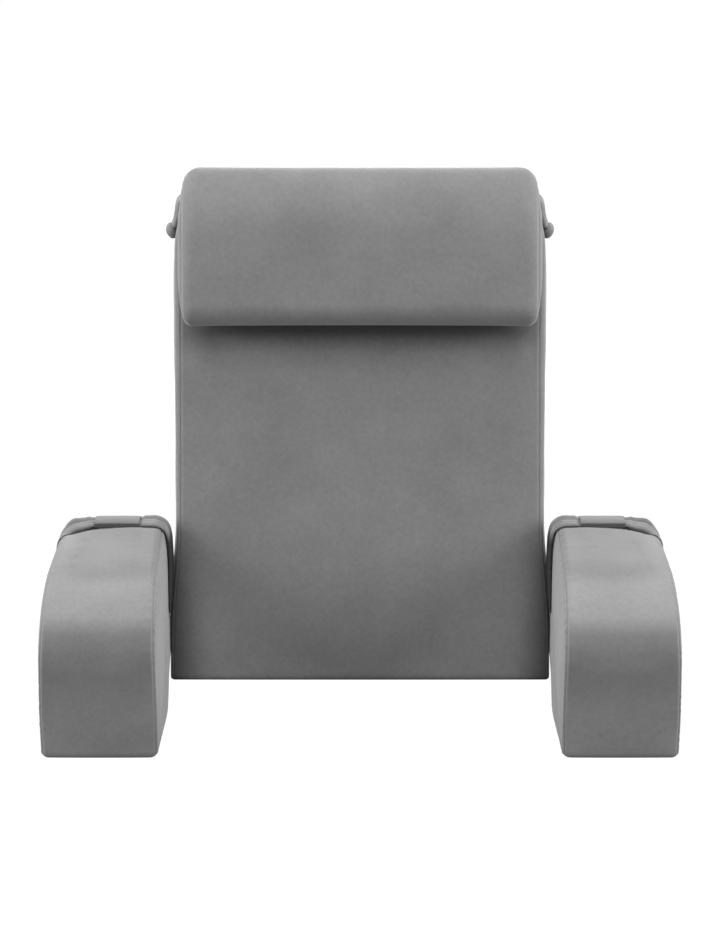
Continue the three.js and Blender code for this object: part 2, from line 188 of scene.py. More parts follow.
@dataclass(frozen=True)
class Velvet:
    """Polyester velvet, woven and sheared: a soft dull face that whitens where the pile is seen edge on.

    Painted shade darkens it and takes away its sheen, as much as a piece's painted-shade attribute says.
    Pile: about 1 mm tufts 0.2 mm apart, drawn 0.8 mm apart here: the real ones are finer than a pixel.
    """

    name: str
    body: str = "#5f5f5f"
    brushed: str = "#6b6b6b"
    # A painted highlight on the rolled edge beside each seam and hem.
    highlit_edge: str = "#7c7c7c"
    highlit_share: float = 0.3
    highlit_reach: tuple[float, float] = (1.2, 5.0)
    sewn_line: str = "#363636"
    sewn_share: float = 0.4
    sewn_reach: tuple[float, float] = (0.3, 1.1)
    # The colour of full painted shade.
    painted_shade: str = "#161616"
    sheen: float = 0.55
    sheen_spread: float = 0.42
    sheen_tint: str = "#d8d8d8"
    roughness: float = 0.86
    gloss: float = 0.18
    pile_mm: float = 0.8
    stroke_mm: float = 5.5
    cloud_mm: float = 70.0
    nap_weights: tuple[float, float, float] = (0.42, 0.36, 0.22)
    nap_range: tuple[float, float] = (0.36, 0.64)
    pile_relief: float = 0.22
    stroke_relief: float = 0.12
    relief_strength: float = 0.6

    NOISE_ROUGHNESS = 0.55

    def material(self) -> Material:
        """Build the node material, with its pattern on Object coordinates and on the sewn edges.

        Returns:
            The material.
        """
        made = empty_material(self.name)
        tree = made.node_tree
        place = add_node(tree, "ShaderNodeTexCoord").outputs["Object"]
        cloud = self._noise(tree, place, self.cloud_mm, 3.0)
        stroke = self._noise(tree, place, self.stroke_mm, 2.0)
        pile = self._noise(tree, place, self.pile_mm, 1.0)
        nap = self._sum(tree, zip((cloud, stroke, pile), self.nap_weights))
        low, high = self.nap_range
        lighter = mapped(tree, nap, {"From Min": low, "From Max": high})
        face = mixed(tree, lighter, self.body, self.brushed)
        for attribute in (SEAM, HEM):
            face = self._sewn(tree, face, attribute)
        # Painted shade: this attribute darkens the colour and takes away the sheen.
        shade_share = add_node(tree, "ShaderNodeAttribute", {"attribute_name": PAINTED_SHADE}).outputs["Fac"]
        face = mixed(tree, shade_share, face, self.painted_shade)
        sheen = mapped(tree, shade_share, {"To Min": self.sheen, "To Max": 0.0})
        relief = self._sum(tree, [(pile, self.pile_relief), (stroke, self.stroke_relief)])
        bump = add_node(
            tree,
            "ShaderNodeBump",
            {"Strength": self.relief_strength, "Distance": 1.0 * MM},
            {"Height": relief},
        ).outputs["Normal"]
        skin = add_node(
            tree,
            "ShaderNodeBsdfPrincipled",
            {
                "Roughness": self.roughness,
                "Specular IOR Level": self.gloss,
                "Sheen Roughness": self.sheen_spread,
                "Sheen Tint": linear_colour(self.sheen_tint),
            },
            {"Base Color": face, "Sheen Weight": sheen, "Normal": bump},
        )
        add_node(tree, "ShaderNodeOutputMaterial", links={"Surface": skin.outputs["BSDF"]})
        return made

    @staticmethod
    def _noise(tree: NodeTree, place: NodeSocket, size_mm: float, detail: float) -> NodeSocket:
        """Noise whose patches are about size_mm wide, from 0 to 1.

        Args:
            tree: The material's node tree.
            place: The socket with the place.
            size_mm: Width of a patch.
            detail: How many finer layers it has.

        Returns:
            The socket with the noise.
        """
        node = add_node(
            tree,
            "ShaderNodeTexNoise",
            {"Scale": 1 / (size_mm * MM), "Detail": detail, "Roughness": Velvet.NOISE_ROUGHNESS},
            {"Vector": place},
        )
        return node.outputs["Fac"]

    @staticmethod
    def _sum(tree: NodeTree, parts: Iterable[tuple[NodeSocket, float]]) -> NodeSocket:
        """Add several values, each times its weight.

        Args:
            tree: The material's node tree.
            parts: Each value with its weight.

        Returns:
            The socket with the weighted sum.
        """
        total = 0.0
        for value, weight in parts:
            total = calculated(tree, "MULTIPLY_ADD", {0: value, 1: weight, 2: total})
        return total

    @staticmethod
    def _fading(reach: tuple[float, float], share: float) -> dict[str, object]:
        """Settings that give this share at the near reach and fade it out by the far one."""
        near, far = reach
        return {"From Min": far, "From Max": near, "To Max": share, "interpolation_type": "SMOOTHSTEP"}

    def _sewn(self, tree: NodeTree, face: NodeSocket, attribute: str) -> NodeSocket:
        """Darken the cloth in a sewn line, and paint a highlight on the rolled edge beside that line.

        Args:
            tree: The material's node tree.
            face: The colour of the cloth so far.
            attribute: The name of the attribute with the distance from the line in millimetres.

        Returns:
            The socket with the new colour.
        """
        distance = add_node(tree, "ShaderNodeAttribute", {"attribute_name": attribute}).outputs["Fac"]
        away = calculated(tree, "ABSOLUTE", {0: distance})
        edge = mapped(tree, away, self._fading(self.highlit_reach, self.highlit_share))
        paled = mixed(tree, edge, face, self.highlit_edge)
        line = mapped(tree, away, self._fading(self.sewn_reach, self.sewn_share))
        return mixed(tree, line, paled, self.sewn_line)


@dataclass(frozen=True)
class SewingThread:
    """Spun polyester thread, in the tone of the velvet: fine, matt and a little darker than the cloth."""

    name: str = "sewing_thread_spun_polyester"
    colour: str = "#4a4a4a"
    twist: str = "#5c5c5c"
    twist_mm: float = 0.7
    bands_per_twist: float = 0.3
    unevenness: float = 1.5
    roughness: float = 0.7
    sheen: float = 0.3

    def material(self) -> Material:
        """Build the material, with the turns of the thread as bands of tone.

        Returns:
            The material.
        """
        made = empty_material(self.name)
        tree = made.node_tree
        place = add_node(tree, "ShaderNodeTexCoord").outputs["Object"]
        turns = add_node(
            tree,
            "ShaderNodeTexWave",
            {
                "Scale": self.bands_per_twist / (self.twist_mm * MM),
                "Distortion": self.unevenness,
                "bands_direction": "DIAGONAL",
            },
            {"Vector": place},
        ).outputs["Fac"]
        tone = mixed(tree, turns, self.colour, self.twist)
        skin = add_node(
            tree,
            "ShaderNodeBsdfPrincipled",
            {"Roughness": self.roughness, "Sheen Weight": self.sheen},
            {"Base Color": tone},
        )
        add_node(tree, "ShaderNodeOutputMaterial", links={"Surface": skin.outputs["BSDF"]})
        return made


# Shapes


def smoothstep(value: np.ndarray, start: float, stop: float) -> np.ndarray:
    """Rise smoothly from 0 at start to 1 at stop."""
    share = np.clip((value - start) / (stop - start), 0, 1)
    return share * share * (3 - 2 * share)


def falling(value: np.ndarray, start: float, stop: float) -> np.ndarray:
    """Fall smoothly from 1 at start to 0 at stop."""
    return 1 - smoothstep(value, start, stop)


def bell(value: np.ndarray, middle: float, width: float) -> np.ndarray:
    """A bell curve, 1 at its middle and nearly 0 at twice its width from there."""
    return np.exp(-(((value - middle) / width) ** 2))


def loop_average(values: np.ndarray, spread: float) -> np.ndarray:
    """Smooth values around a closed loop.

    Args:
        values: One row for each point of the loop.
        spread: Standard deviation of the blur, in points.

    Returns:
        The smoothed rows.
    """
    reach = int(math.ceil(spread * 3))
    offsets = np.arange(-reach, reach + 1)
    weights = np.exp(-0.5 * (offsets / spread) ** 2)
    weights /= weights.sum()
    return sum(w * np.roll(values, int(o), axis=0) for o, w in zip(offsets, weights))


def loop_ripple(turn: np.ndarray, length: float, wave: float, seed: int) -> np.ndarray:
    """Uneven ripple around a closed loop, about -1 to 1.

    Args:
        turn: Place on the loop, as an angle.
        length: Length of the loop in millimetres.
        wave: Mean distance from crest to crest in millimetres.
        seed: Picks the pattern.

    Returns:
        The height of the ripple at each place.
    """
    generator = np.random.default_rng(seed)
    orders = np.round(length / wave * generator.uniform(*RIPPLE_SPREAD, RIPPLE_PARTS))
    phases = generator.uniform(0, 2 * math.pi, len(orders))
    total = sum(np.cos(order * turn + phase) for order, phase in zip(orders, phases))
    return total / math.sqrt(len(orders))


def smooth_path(points: np.ndarray, count: int) -> tuple[np.ndarray, np.ndarray]:
    """Even stations on a smooth curve through points.

    Args:
        points: The points that the curve passes, one row each: the place in three columns,
            and then anything that is carried along.
        count: Number of stations.

    Returns:
        The stations and the unit tangent at each.
    """
    points = np.asarray(points, float)
    chords = np.linalg.norm(np.diff(points[:, :3], axis=0), axis=1)
    knots = np.concatenate([[0], np.cumsum(chords)])
    slopes = np.gradient(points, knots, axis=0)
    fine = np.linspace(0, knots[-1], PATH_FINENESS * count)
    cell = np.clip(np.searchsorted(knots, fine, side="right") - 1, 0, len(knots) - 2)
    span = (knots[cell + 1] - knots[cell])[:, None]
    t = (fine[:, None] - knots[cell][:, None]) / span
    curve = (
        (2 * t**3 - 3 * t**2 + 1) * points[cell]
        + (t**3 - 2 * t**2 + t) * span * slopes[cell]
        + (3 * t**2 - 2 * t**3) * points[cell + 1]
        + (t**3 - t**2) * span * slopes[cell + 1]
    )
    run = np.concatenate([[0], np.cumsum(np.linalg.norm(np.diff(curve[:, :3], axis=0), axis=1))])
    even = np.linspace(0, run[-1], count)
    stations = np.stack([np.interp(even, run, column) for column in curve.T], axis=1)
    tangents = np.gradient(stations[:, :3], axis=0)
    return stations, tangents / np.linalg.norm(tangents, axis=1)[:, None]


def in_scene(name: str, data: bpy.types.ID) -> Object:
    """Put an object with this mesh, light or camera in the scene.

    Args:
        name: Name of the object.
        data: What the object shows.

    Returns:
        The object.
    """
    made = bpy.data.objects.new(name, data)
    bpy.context.scene.collection.objects.link(made)
    return made


def make_mesh(name: str, points: np.ndarray, faces: list, mirrored: bool = False) -> Object:
    """Make a smooth-shaded object, with its place in its mesh.

    Args:
        name: Name of the object.
        points: Places in millimetres in the part's frame.
        faces: Point numbers of each face, in turn.
        mirrored: Whether the left-hand image is made.

    Returns:
        The object, in the scene.
    """
    places = np.array(points, float) * MM
    if mirrored:
        places[:, 0] *= -1
        faces = [tuple(reversed(face)) for face in faces]
    mesh = bpy.data.meshes.new(name)
    mesh.from_pydata(places.tolist(), [], faces)
    mesh.validate()
    made = in_scene(name, mesh)
    mesh.shade_smooth()
    return made


def places_of(piece: Object) -> np.ndarray:
    """The places of a piece's points, in metres.

    Args:
        piece: The object that is read.

    Returns:
        One row of three for each point.
    """
    places = np.zeros(len(piece.data.vertices) * 3)
    piece.data.vertices.foreach_get("co", places)
    return places.reshape(-1, 3)


def normals_of(piece: Object) -> np.ndarray:
    """The outward direction at each point of a piece.

    Args:
        piece: The object that is read.

    Returns:
        One unit row of three for each point.
    """
    normals = np.zeros(len(piece.data.vertices) * 3)
    piece.data.vertices.foreach_get("normal", normals)
    return normals.reshape(-1, 3)


def facing_front(piece: Object) -> np.ndarray:
    """How far each point of a piece faces the front, from 0 to 1."""
    return smoothstep(-normals_of(piece)[:, 1], *FACES_FRONT)


def put_places(piece: Object, places: np.ndarray) -> None:
    """Move the points of a piece to new places, in metres."""
    piece.data.vertices.foreach_set("co", places.ravel())
    piece.data.update()


def attribute_of(piece: Object, name: str) -> np.ndarray:
    """The values of a point attribute of a piece.

    Args:
        piece: The object that is read.
        name: Name of the attribute.

    Returns:
        One value for each point.
    """
    values = np.zeros(len(piece.data.vertices), np.float32)
    piece.data.attributes[name].data.foreach_get("value", values)
    return values


def put_attribute(piece: Object, name: str, values: np.ndarray) -> None:
    """Set a point attribute of a piece, and add it where it is missing.

    Args:
        piece: The object that gets it.
        name: Name of the attribute.
        values: One value for each point.
    """
    attributes = piece.data.attributes
    held = attributes.get(name) or attributes.new(name, "FLOAT", "POINT")
    held.data.foreach_set("value", np.asarray(values, np.float32))


def applied(piece: Object) -> None:
    """Make the piece's mesh what its modifiers give, and remove them.

    Args:
        piece: The object that is changed.
    """
    bpy.context.view_layer.update()
    evaluated = piece.evaluated_get(bpy.context.evaluated_depsgraph_get())
    mesh = bpy.data.meshes.new_from_object(evaluated)
    piece.modifiers.clear()
    old = piece.data
    piece.data = mesh
    bpy.data.meshes.remove(old)
    mesh.name = piece.name


def subdivided(piece: Object, levels: int) -> None:
    """Apply a Subdivision Surface of these levels to the piece.

    Args:
        piece: The object that is changed.
        levels: How often each face is divided.
    """
    modifier = piece.modifiers.new("smooth_cloth", "SUBSURF")
    modifier.levels = levels
    modifier.render_levels = levels
    applied(piece)


def band_faces(rings: int, sides: int, closed: bool) -> list[tuple[int, ...]]:
    """Faces between rings that each hold the same number of points.

    Args:
        rings: Number of rings.
        sides: Number of points on each ring.
        closed: Whether the last ring joins the first; otherwise each end gets a cap.

    Returns:
        The faces as point numbers.
    """
    faces = []
    for r in range(rings if closed else rings - 1):
        here, there = r * sides, (r + 1) % rings * sides
        for k in range(sides):
            n = (k + 1) % sides
            faces.append((here + k, there + k, there + n, here + n))
    if not closed:
        end = (rings - 1) * sides
        faces.append(tuple(range(sides)))
        faces.append(tuple(end + k for k in reversed(range(sides))))
    return faces


def turned_outward(points: np.ndarray, faces: list) -> list:
    """Reverse the faces of a closed shape if they point inward.

    Args:
        points: Places of the points.
        faces: Point numbers of each face.

    Returns:
        The faces, pointing outward.
    """
    volume = 0.0
    for face in faces:
        first = points[face[0]]
        for a, b in zip(face[1:-1], face[2:]):
            volume += float(np.dot(first, np.cross(points[a], points[b])))
    return faces if volume > 0 else [tuple(reversed(face)) for face in faces]


# Stitches


@dataclass(frozen=True)
class SeamStitches:
    """Lockstitches laid along the sewn lines of a pad by Geometry Nodes; sizes in millimetres."""

    thread: Material
    pitch: float = 3.4
    length: float = 2.8
    radius: float = 0.27
    shortest: float = 0.86
    longest: float = 1.08
    seed: int = 5

    def lay(self, name: str, lines: list[np.ndarray]) -> Object:
        """Args:
            name: Name of the piece.
            lines: The points of each closed line, in metres.

        Returns:
            The thread as a plain mesh.
        """
        points = np.concatenate(lines)
        edges, start = [], 0
        for line in lines:
            count = len(line)
            edges += [(start + k, start + (k + 1) % count) for k in range(count)]
            start += count
        path = bpy.data.meshes.new(name + "_path")
        path.from_pydata(points.tolist(), edges, [])
        piece = in_scene(name, path)
        tree = self._tree()
        stitching = piece.modifiers.new("stitching", "NODES")
        stitching.node_group = tree
        sizes = {
            "Pitch": self.pitch * MM,
            "Stitch Length": self.length * MM,
            "Thread Radius": self.radius * MM,
            "Seed": self.seed,
        }
        for socket in tree.interface.items_tree:
            if socket.name in sizes:
                stitching[socket.identifier] = sizes[socket.name]
        applied(piece)
        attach(piece, BODY)
        LOG.info("%s: %d points", piece.name, len(piece.data.vertices))
        return piece

    def _tree(self) -> NodeTree:
        """Build the tree that sets a stitch on every pitch of a line.

        Returns:
            The node tree, with named inputs for its sizes and its seed.
        """
        tree = bpy.data.node_groups.new("seam_stitches", "GeometryNodeTree")
        sockets = {
            "Seams": "NodeSocketGeometry",
            "Pitch": "NodeSocketFloat",
            "Stitch Length": "NodeSocketFloat",
            "Thread Radius": "NodeSocketFloat",
            "Seed": "NodeSocketInt",
        }
        for name, kind in sockets.items():
            tree.interface.new_socket(name, in_out="INPUT", socket_type=kind)
        tree.interface.new_socket("Stitches", in_out="OUTPUT", socket_type="NodeSocketGeometry")
        given = add_node(tree, "NodeGroupInput").outputs
        curve = add_node(tree, "GeometryNodeMeshToCurve", links={"Mesh": given["Seams"]}).outputs[0]
        points = add_node(
            tree,
            "GeometryNodeCurveToPoints",
            {"mode": "LENGTH"},
            {"Curve": curve, "Length": given["Pitch"]},
        ).outputs
        bead = add_node(
            tree, "GeometryNodeMeshUVSphere", {"Segments": 6, "Rings": 5, "Radius": 1.0}
        ).outputs["Mesh"]
        uneven = add_node(
            tree,
            "FunctionNodeRandomValue",
            {"data_type": "FLOAT", 2: self.shortest / 2, 3: self.longest / 2},
            {"Seed": given["Seed"]},
        ).outputs[1]
        half = calculated(tree, "MULTIPLY", {0: given["Stitch Length"], 1: uneven})
        radius = given["Thread Radius"]
        size = add_node(tree, "ShaderNodeCombineXYZ", links={0: radius, 1: radius, 2: half}).outputs[0]
        stitches = add_node(
            tree,
            "GeometryNodeInstanceOnPoints",
            links={
                "Points": points["Points"],
                "Instance": bead,
                "Rotation": points["Rotation"],
                "Scale": size,
            },
        ).outputs["Instances"]
        real = add_node(tree, "GeometryNodeRealizeInstances", links={0: stitches}).outputs[0]
        smooth = add_node(tree, "GeometryNodeSetShadeSmooth", links={0: real}).outputs[0]
        dressed = add_node(
            tree, "GeometryNodeSetMaterial", {"Material": self.thread}, {0: smooth}
        ).outputs[0]
        add_node(tree, "NodeGroupOutput", links={0: dressed})
        return tree


# Padded pieces


@dataclass(frozen=True)
class Row:
    """A corner of a pad's side outline, and how wide, crowned and rounded the pad is there."""

    depth: float
    z: float
    low: float
    high: float
    low_round: float
    high_round: float
    crown: float = 0.0
    fall: float = 0.0
    before: float = 0.0
    after: float = 0.0

    @property
    def across(self) -> np.ndarray:
        """What is carried along the outline from this corner to the next."""
        return np.array([self.low, self.high, self.low_round, self.high_round, self.crown, self.fall])


@dataclass(frozen=True)
class Outline:
    """The side outline of a pad as even points, and the pad's measures across at each."""

    at: np.ndarray
    outward: np.ndarray
    across: np.ndarray
    length: float
    corners: np.ndarray

    BEND_POINTS = 24
    RUN_POINTS = 40
    ROUNDNESS = 0.56

    @staticmethod
    def through(rows: list[Row], count: int, measure_blur: float = 2.5) -> "Outline":
        """Follow the corners, each turned into a soft curve.

        Args:
            rows: The corners, from the front of the foot up and around.
            count: Number of points.
            measure_blur: How far the measures across are smoothed, in points.

        Returns:
            The outline.
        """
        places, marks = [], []
        for i, row in enumerate(rows):
            previous, following = rows[i - 1], rows[(i + 1) % len(rows)]
            corner = np.array([row.depth, row.z])
            start = Outline._toward(corner, previous, row.before)
            end = Outline._toward(corner, following, row.after)
            turning = np.linspace(0, 1, Outline.BEND_POINTS, endpoint=False) if row.before else [0.0]
            marks.append(len(places) + len(turning) // 2)
            leave = start + (corner - start) * Outline.ROUNDNESS
            arrive = end + (corner - end) * Outline.ROUNDNESS
            for t in turning:
                s = 1 - t
                places.append(s**3 * start + 3 * s**2 * t * leave + 3 * s * t * t * arrive + t**3 * end)
            stop = Outline._toward(np.array([following.depth, following.z]), row, following.before)
            for t in np.linspace(0, 1, Outline.RUN_POINTS, endpoint=False):
                places.append(end + (stop - end) * t)
        dense = np.array(places + [places[0]])
        values = np.array([row.across for row in rows])
        run = np.concatenate([[0], np.cumsum(np.linalg.norm(np.diff(dense, axis=0), axis=1))])
        even = np.linspace(0, run[-1], count, endpoint=False)
        at = np.stack([np.interp(even, run, column) for column in dense.T], axis=1)
        across = np.stack(
            [np.interp(even, run[marks], column, period=run[-1]) for column in values.T], axis=1
        )
        along = np.roll(at, -1, axis=0) - np.roll(at, 1, axis=0)
        along /= np.linalg.norm(along, axis=1)[:, None]
        return Outline(
            at=at,
            outward=np.stack([-along[:, 1], along[:, 0]], axis=1),
            across=loop_average(across, measure_blur),
            length=float(run[-1]),
            corners=2 * math.pi * run[marks] / run[-1],
        )

    @staticmethod
    def _toward(corner: np.ndarray, other: Row, length: float) -> np.ndarray:
        """The point this far from a corner on the way to another one."""
        way = np.array([other.depth, other.z]) - corner
        return corner + way * (length / np.linalg.norm(way))


@dataclass
class Ring:
    """Points around a pad at one station across it."""

    points: np.ndarray
    seam: np.ndarray
    turn: np.ndarray
    side: int


@dataclass(frozen=True)
class SeamStyle:
    """How the sewn edges of a pad look: a groove between two rolled edges, puckered by the thread.

    The angle says where the seam runs on the rounded edge, from 0 on the strip to 90 on the side panel.
    """

    angle: float = 40.0
    groove: float = 0.9
    groove_width: float = 1.3
    roll: float = 0.2
    roll_at: float = 3.4
    roll_width: float = 2.0
    pucker: float = 0.3
    pucker_wave: float = 12.0
    pucker_reach: float = 7.0
    pucker_start: float = 2.0


@dataclass
class Pad:
    """A boxed cushion of foam: a strip around its outline, sewn to a side panel at each end."""

    name: str
    slot: Slot
    velvet: Material
    thread: Material
    rows: list[Row]
    middle: tuple[float, float]
    side_crown: float
    count: int
    strip_parts: int
    side: Side = Side.RIGHT
    panel_parts: int = 13
    seams: SeamStyle = field(default_factory=SeamStyle)
    hems: tuple[int, ...] = (0,)
    fill: float = 0.7
    swell: float = 2.0
    seed: int = 1
    outline: Outline = field(init=False)

    EVEN_ANGLES = (90.0, 76.0, 62.0, 48.0, 34.0, 20.0, 9.0)
    BESIDE_SEAM = (-7.0, 0.0, 7.0)
    APART = 4.0
    ON_SEAM = 0.001
    PANEL_SHARES = (0.06, 0.985)
    PANEL_SPREAD = 1.15
    PANEL_FLATNESS = 6
    MOST_HALVINGS = 3
    CLOSER_AT_EDGES = 0.2
    PRESSURE = 4.0
    LAST_FRAME = 20
    FREE_FROM = 40.0
    HELD_AT_SEAM = 0.15
    HEM_SHARE = 0.6
    LEAST_INTO_STRIP = 1.0
    FLAT_FOOT = (1.0, 8.0)
    HELD_FOOT = 2.0

    def panel_side(self, side: int, z: np.ndarray, share: float) -> np.ndarray:
        """How far out the side panel stands, before its crown.

        Args:
            side: 0 for the low end and 1 for the high end.
            z: Height of each point; not used here.
            share: How far out from the panel's middle the points are, from 0 to 1.

        Returns:
            The place across of each point.
        """
        edge = self.outline.across[:, side]
        return edge.mean() * (1 - share) + edge * share

    def build(self) -> Object:
        """Make the pad, fill it, and sew its edges.

        Returns:
            The finished piece, declared to the frame.
        """
        self.outline = Outline.through(self.rows, self.count)
        rings = self._rings()
        piece = self._skin(rings)
        self._inflate(piece)
        subdivided(piece, 1)
        seam_lines = self._sew(piece)
        piece.data.materials.append(self.velvet)
        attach(piece, BODY)
        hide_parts(self.name)
        LOG.info("%s: %d points", piece.name, len(piece.data.vertices))
        SeamStitches(self.thread).lay(self.name + "_seam_thread", seam_lines)
        return piece

    @property
    def seam_angle(self) -> float:
        """Where the seam runs on the rounded edge, in radians."""
        return math.radians(self.seams.angle)

    def _round_angles(self) -> list[float]:
        """Stations over the rounded edge in radians, from the panel to the strip, closer at the seam.

        Returns:
            The angles, falling.
        """
        spread = max(self.BESIDE_SEAM) + self.APART
        even = [a for a in self.EVEN_ANGLES if abs(a - self.seams.angle) > spread]
        beside = [self.seams.angle + step for step in self.BESIDE_SEAM]
        return [math.radians(a) for a in sorted(even + beside, reverse=True)]

    def _rings(self) -> list[Ring]:
        """Stations from the middle of one side panel, over the strip, to the middle of the other.

        Returns:
            The rings, in turn.
        """
        strip = [self._strip_ring(share) for share in self._strip_shares()]
        return [
            *self._panel_rings(0),
            *self._round_rings(0),
            *strip,
            *reversed(self._round_rings(1)),
            *reversed(self._panel_rings(1)),
        ]

    def _strip_shares(self) -> np.ndarray:
        """Stations across the strip from -1 to 1, closer together at the edges."""
        even = np.linspace(-1, 1, self.strip_parts + 1)
        return (1 - self.CLOSER_AT_EDGES) * even + self.CLOSER_AT_EDGES * np.sin(even * math.pi / 2)

    def _ring(
        self, x: np.ndarray, inset: np.ndarray, share: float, seam: np.ndarray, side: int, every: int = 1
    ) -> Ring:
        """Points this far in from the outline, drawn towards the middle by share.

        Args:
            x: Place across of each point.
            inset: How far in each point is.
            share: From 0 to 1.
            seam: Distance of each point from the seam.
            side: 0 for the low end and 1 for the high end.
            every: Which points are kept: each one, each second one and so on.

        Returns:
            The ring.
        """
        at = self.outline.at - self.outline.outward * inset[:, None]
        at = at + (np.array(self.middle) - at) * share
        points = np.stack([x, at[:, 0] + FRONT_OF_ARMS, at[:, 1]], axis=1)
        turn = np.arange(self.count) * 2 * math.pi / self.count
        pick = slice(None, None, every)
        return Ring(points[pick], np.asarray(seam)[pick], turn[pick], side)

    def _panel_rings(self, side: int) -> list[Ring]:
        """Stations of a side panel, from its middle out; each halves its points where they crowd.

        Args:
            side: 0 for the low end and 1 for the high end.

        Returns:
            The rings, in turn.
        """
        sign = 1 if side else -1
        radius = self.outline.across[:, 2 + side]
        fall = self.outline.across[:, 5] * side
        shares = 1 - (1 - np.linspace(*self.PANEL_SHARES, self.panel_parts)) ** self.PANEL_SPREAD
        made = []
        for share in shares:
            at = self.outline.at + (np.array(self.middle) - self.outline.at) * (1 - share)
            bulge = self.side_crown * (1 - share**self.PANEL_FLATNESS)
            reach = np.linalg.norm(self.outline.at - self.middle, axis=1) * (1 - share)
            x = self.panel_side(side, at[:, 1], share) + sign * bulge
            seam = radius * (math.pi / 2 - self.seam_angle) + reach
            every = 2 ** int(min(self.MOST_HALVINGS, math.floor(math.log2(1 / share))))
            made.append(self._ring(x, radius + fall, 1 - share, seam, side, every))
        return made

    def _round_rings(self, side: int) -> list[Ring]:
        """Stations over the rounded sewn edge, from the panel to the strip.

        Args:
            side: 0 for the low end and 1 for the high end.

        Returns:
            The rings, in turn.
        """
        sign = 1 if side else -1
        radius = self.outline.across[:, 2 + side]
        fall = self.outline.across[:, 5] * side
        made = []
        for angle in self._round_angles():
            x = self.outline.across[:, side] - sign * radius * (1 - math.sin(angle))
            inset = radius * (1 - math.cos(angle)) + fall
            made.append(self._ring(x, inset, 0.0, radius * (angle - self.seam_angle), side))
        return made

    def _strip_ring(self, share: float) -> Ring:
        """One station of the crowned strip.

        Args:
            share: Where it is across the strip, from -1 to 1.

        Returns:
            The ring.
        """
        low, high, low_round, high_round, crown, fall = self.outline.across.T
        left, right = low + low_round, high - high_round
        x = left + (right - left) * (share + 1) / 2
        inset = fall * (share + 1) / 2 - crown * (1 - share * share)
        side = int(share > 0)
        radius = high_round if side else low_round
        reach = (right - left) * (1 - abs(share)) / 2
        return self._ring(x, inset, 0.0, -(radius * self.seam_angle + reach), side)

    def _skin(self, rings: list[Ring]) -> Object:
        """Join the stations into one closed mesh that knows where its sewn edges are.

        Args:
            rings: The stations, in turn; neighbours have as many points, or twice as many or half as many.

        Returns:
            The cover, with its attributes.
        """
        starts = np.concatenate([[0], np.cumsum([len(ring.points) for ring in rings])])
        faces = [tuple(range(len(rings[0].points)))]
        for r in range(len(rings) - 1):
            a, b = len(rings[r].points), len(rings[r + 1].points)
            here, there = int(starts[r]), int(starts[r + 1])
            for k in range(min(a, b)):
                if a == b:
                    n = (k + 1) % a
                    faces.append((here + k, there + k, there + n, here + n))
                elif a < b:
                    wide = [there + (2 * k + j) % b for j in range(3)]
                    faces.append((here + k, *wide, here + (k + 1) % a))
                else:
                    wide = [here + (2 * k + j) % a for j in (2, 1, 0)]
                    faces.append((there + k, there + (k + 1) % b, *wide))
        last = int(starts[-2])
        faces.append(tuple(last + k for k in reversed(range(len(rings[-1].points)))))
        points = np.concatenate([ring.points for ring in rings])
        faces = turned_outward(points, faces)
        piece = make_mesh(self.name + "_pad", points, faces, self.side is Side.LEFT)
        turn = np.concatenate([ring.turn for ring in rings])
        put_attribute(piece, SEAM, np.concatenate([ring.seam for ring in rings]))
        put_attribute(piece, "turn_cos", np.cos(turn))
        put_attribute(piece, "turn_sin", np.sin(turn))
        put_attribute(piece, "end", np.concatenate([np.full(len(r.points), r.side) for r in rings]))
        return piece

    def _inflate(self, piece: Object) -> None:
        """Fill the sewn cover with pressure, and keep as much of the swelling as foam would give.

        Args:
            piece: The cover, which gets the filled shape.
        """
        start = places_of(piece)
        scene = bpy.context.scene
        cloth = piece.modifiers.new("filling", "CLOTH")
        cloth.point_cache.frame_start = 1
        cloth.point_cache.frame_end = self.LAST_FRAME
        cloth.settings.quality = 4
        cloth.settings.use_pressure = True
        cloth.settings.uniform_pressure_force = self.PRESSURE
        cloth.settings.effector_weights.gravity = 0
        cloth.collision_settings.use_collision = False
        for number in range(1, self.LAST_FRAME + 1):
            scene.frame_set(number)
        evaluated = piece.evaluated_get(bpy.context.evaluated_depsgraph_get())
        moved = np.zeros(len(piece.data.vertices) * 3)
        evaluated.data.vertices.foreach_get("co", moved)
        piece.modifiers.remove(cloth)
        scene.frame_set(1)
        move = moved.reshape(-1, 3) - start
        length = np.linalg.norm(move, axis=1)[:, None] + 1e-9
        cap = self.swell * MM
        kept = move / length * cap * np.tanh(length / cap)
        put_places(piece, start + kept * self._freedom(piece)[:, None])

    def _freedom(self, piece: Object) -> np.ndarray:
        """How freely each point swells: not on the floor, little at a sewn edge, most in mid-panel.

        Args:
            piece: The cover.

        Returns:
            A share for each point, from 0 to 1.
        """
        height = places_of(piece)[:, 2] / MM
        off_floor = smoothstep(height, self.HELD_FOOT, self.FREE_FROM)
        off_seam = smoothstep(np.abs(attribute_of(piece, SEAM)), 0, self.FREE_FROM)
        return off_floor * (self.HELD_AT_SEAM + (1 - self.HELD_AT_SEAM) * off_seam)

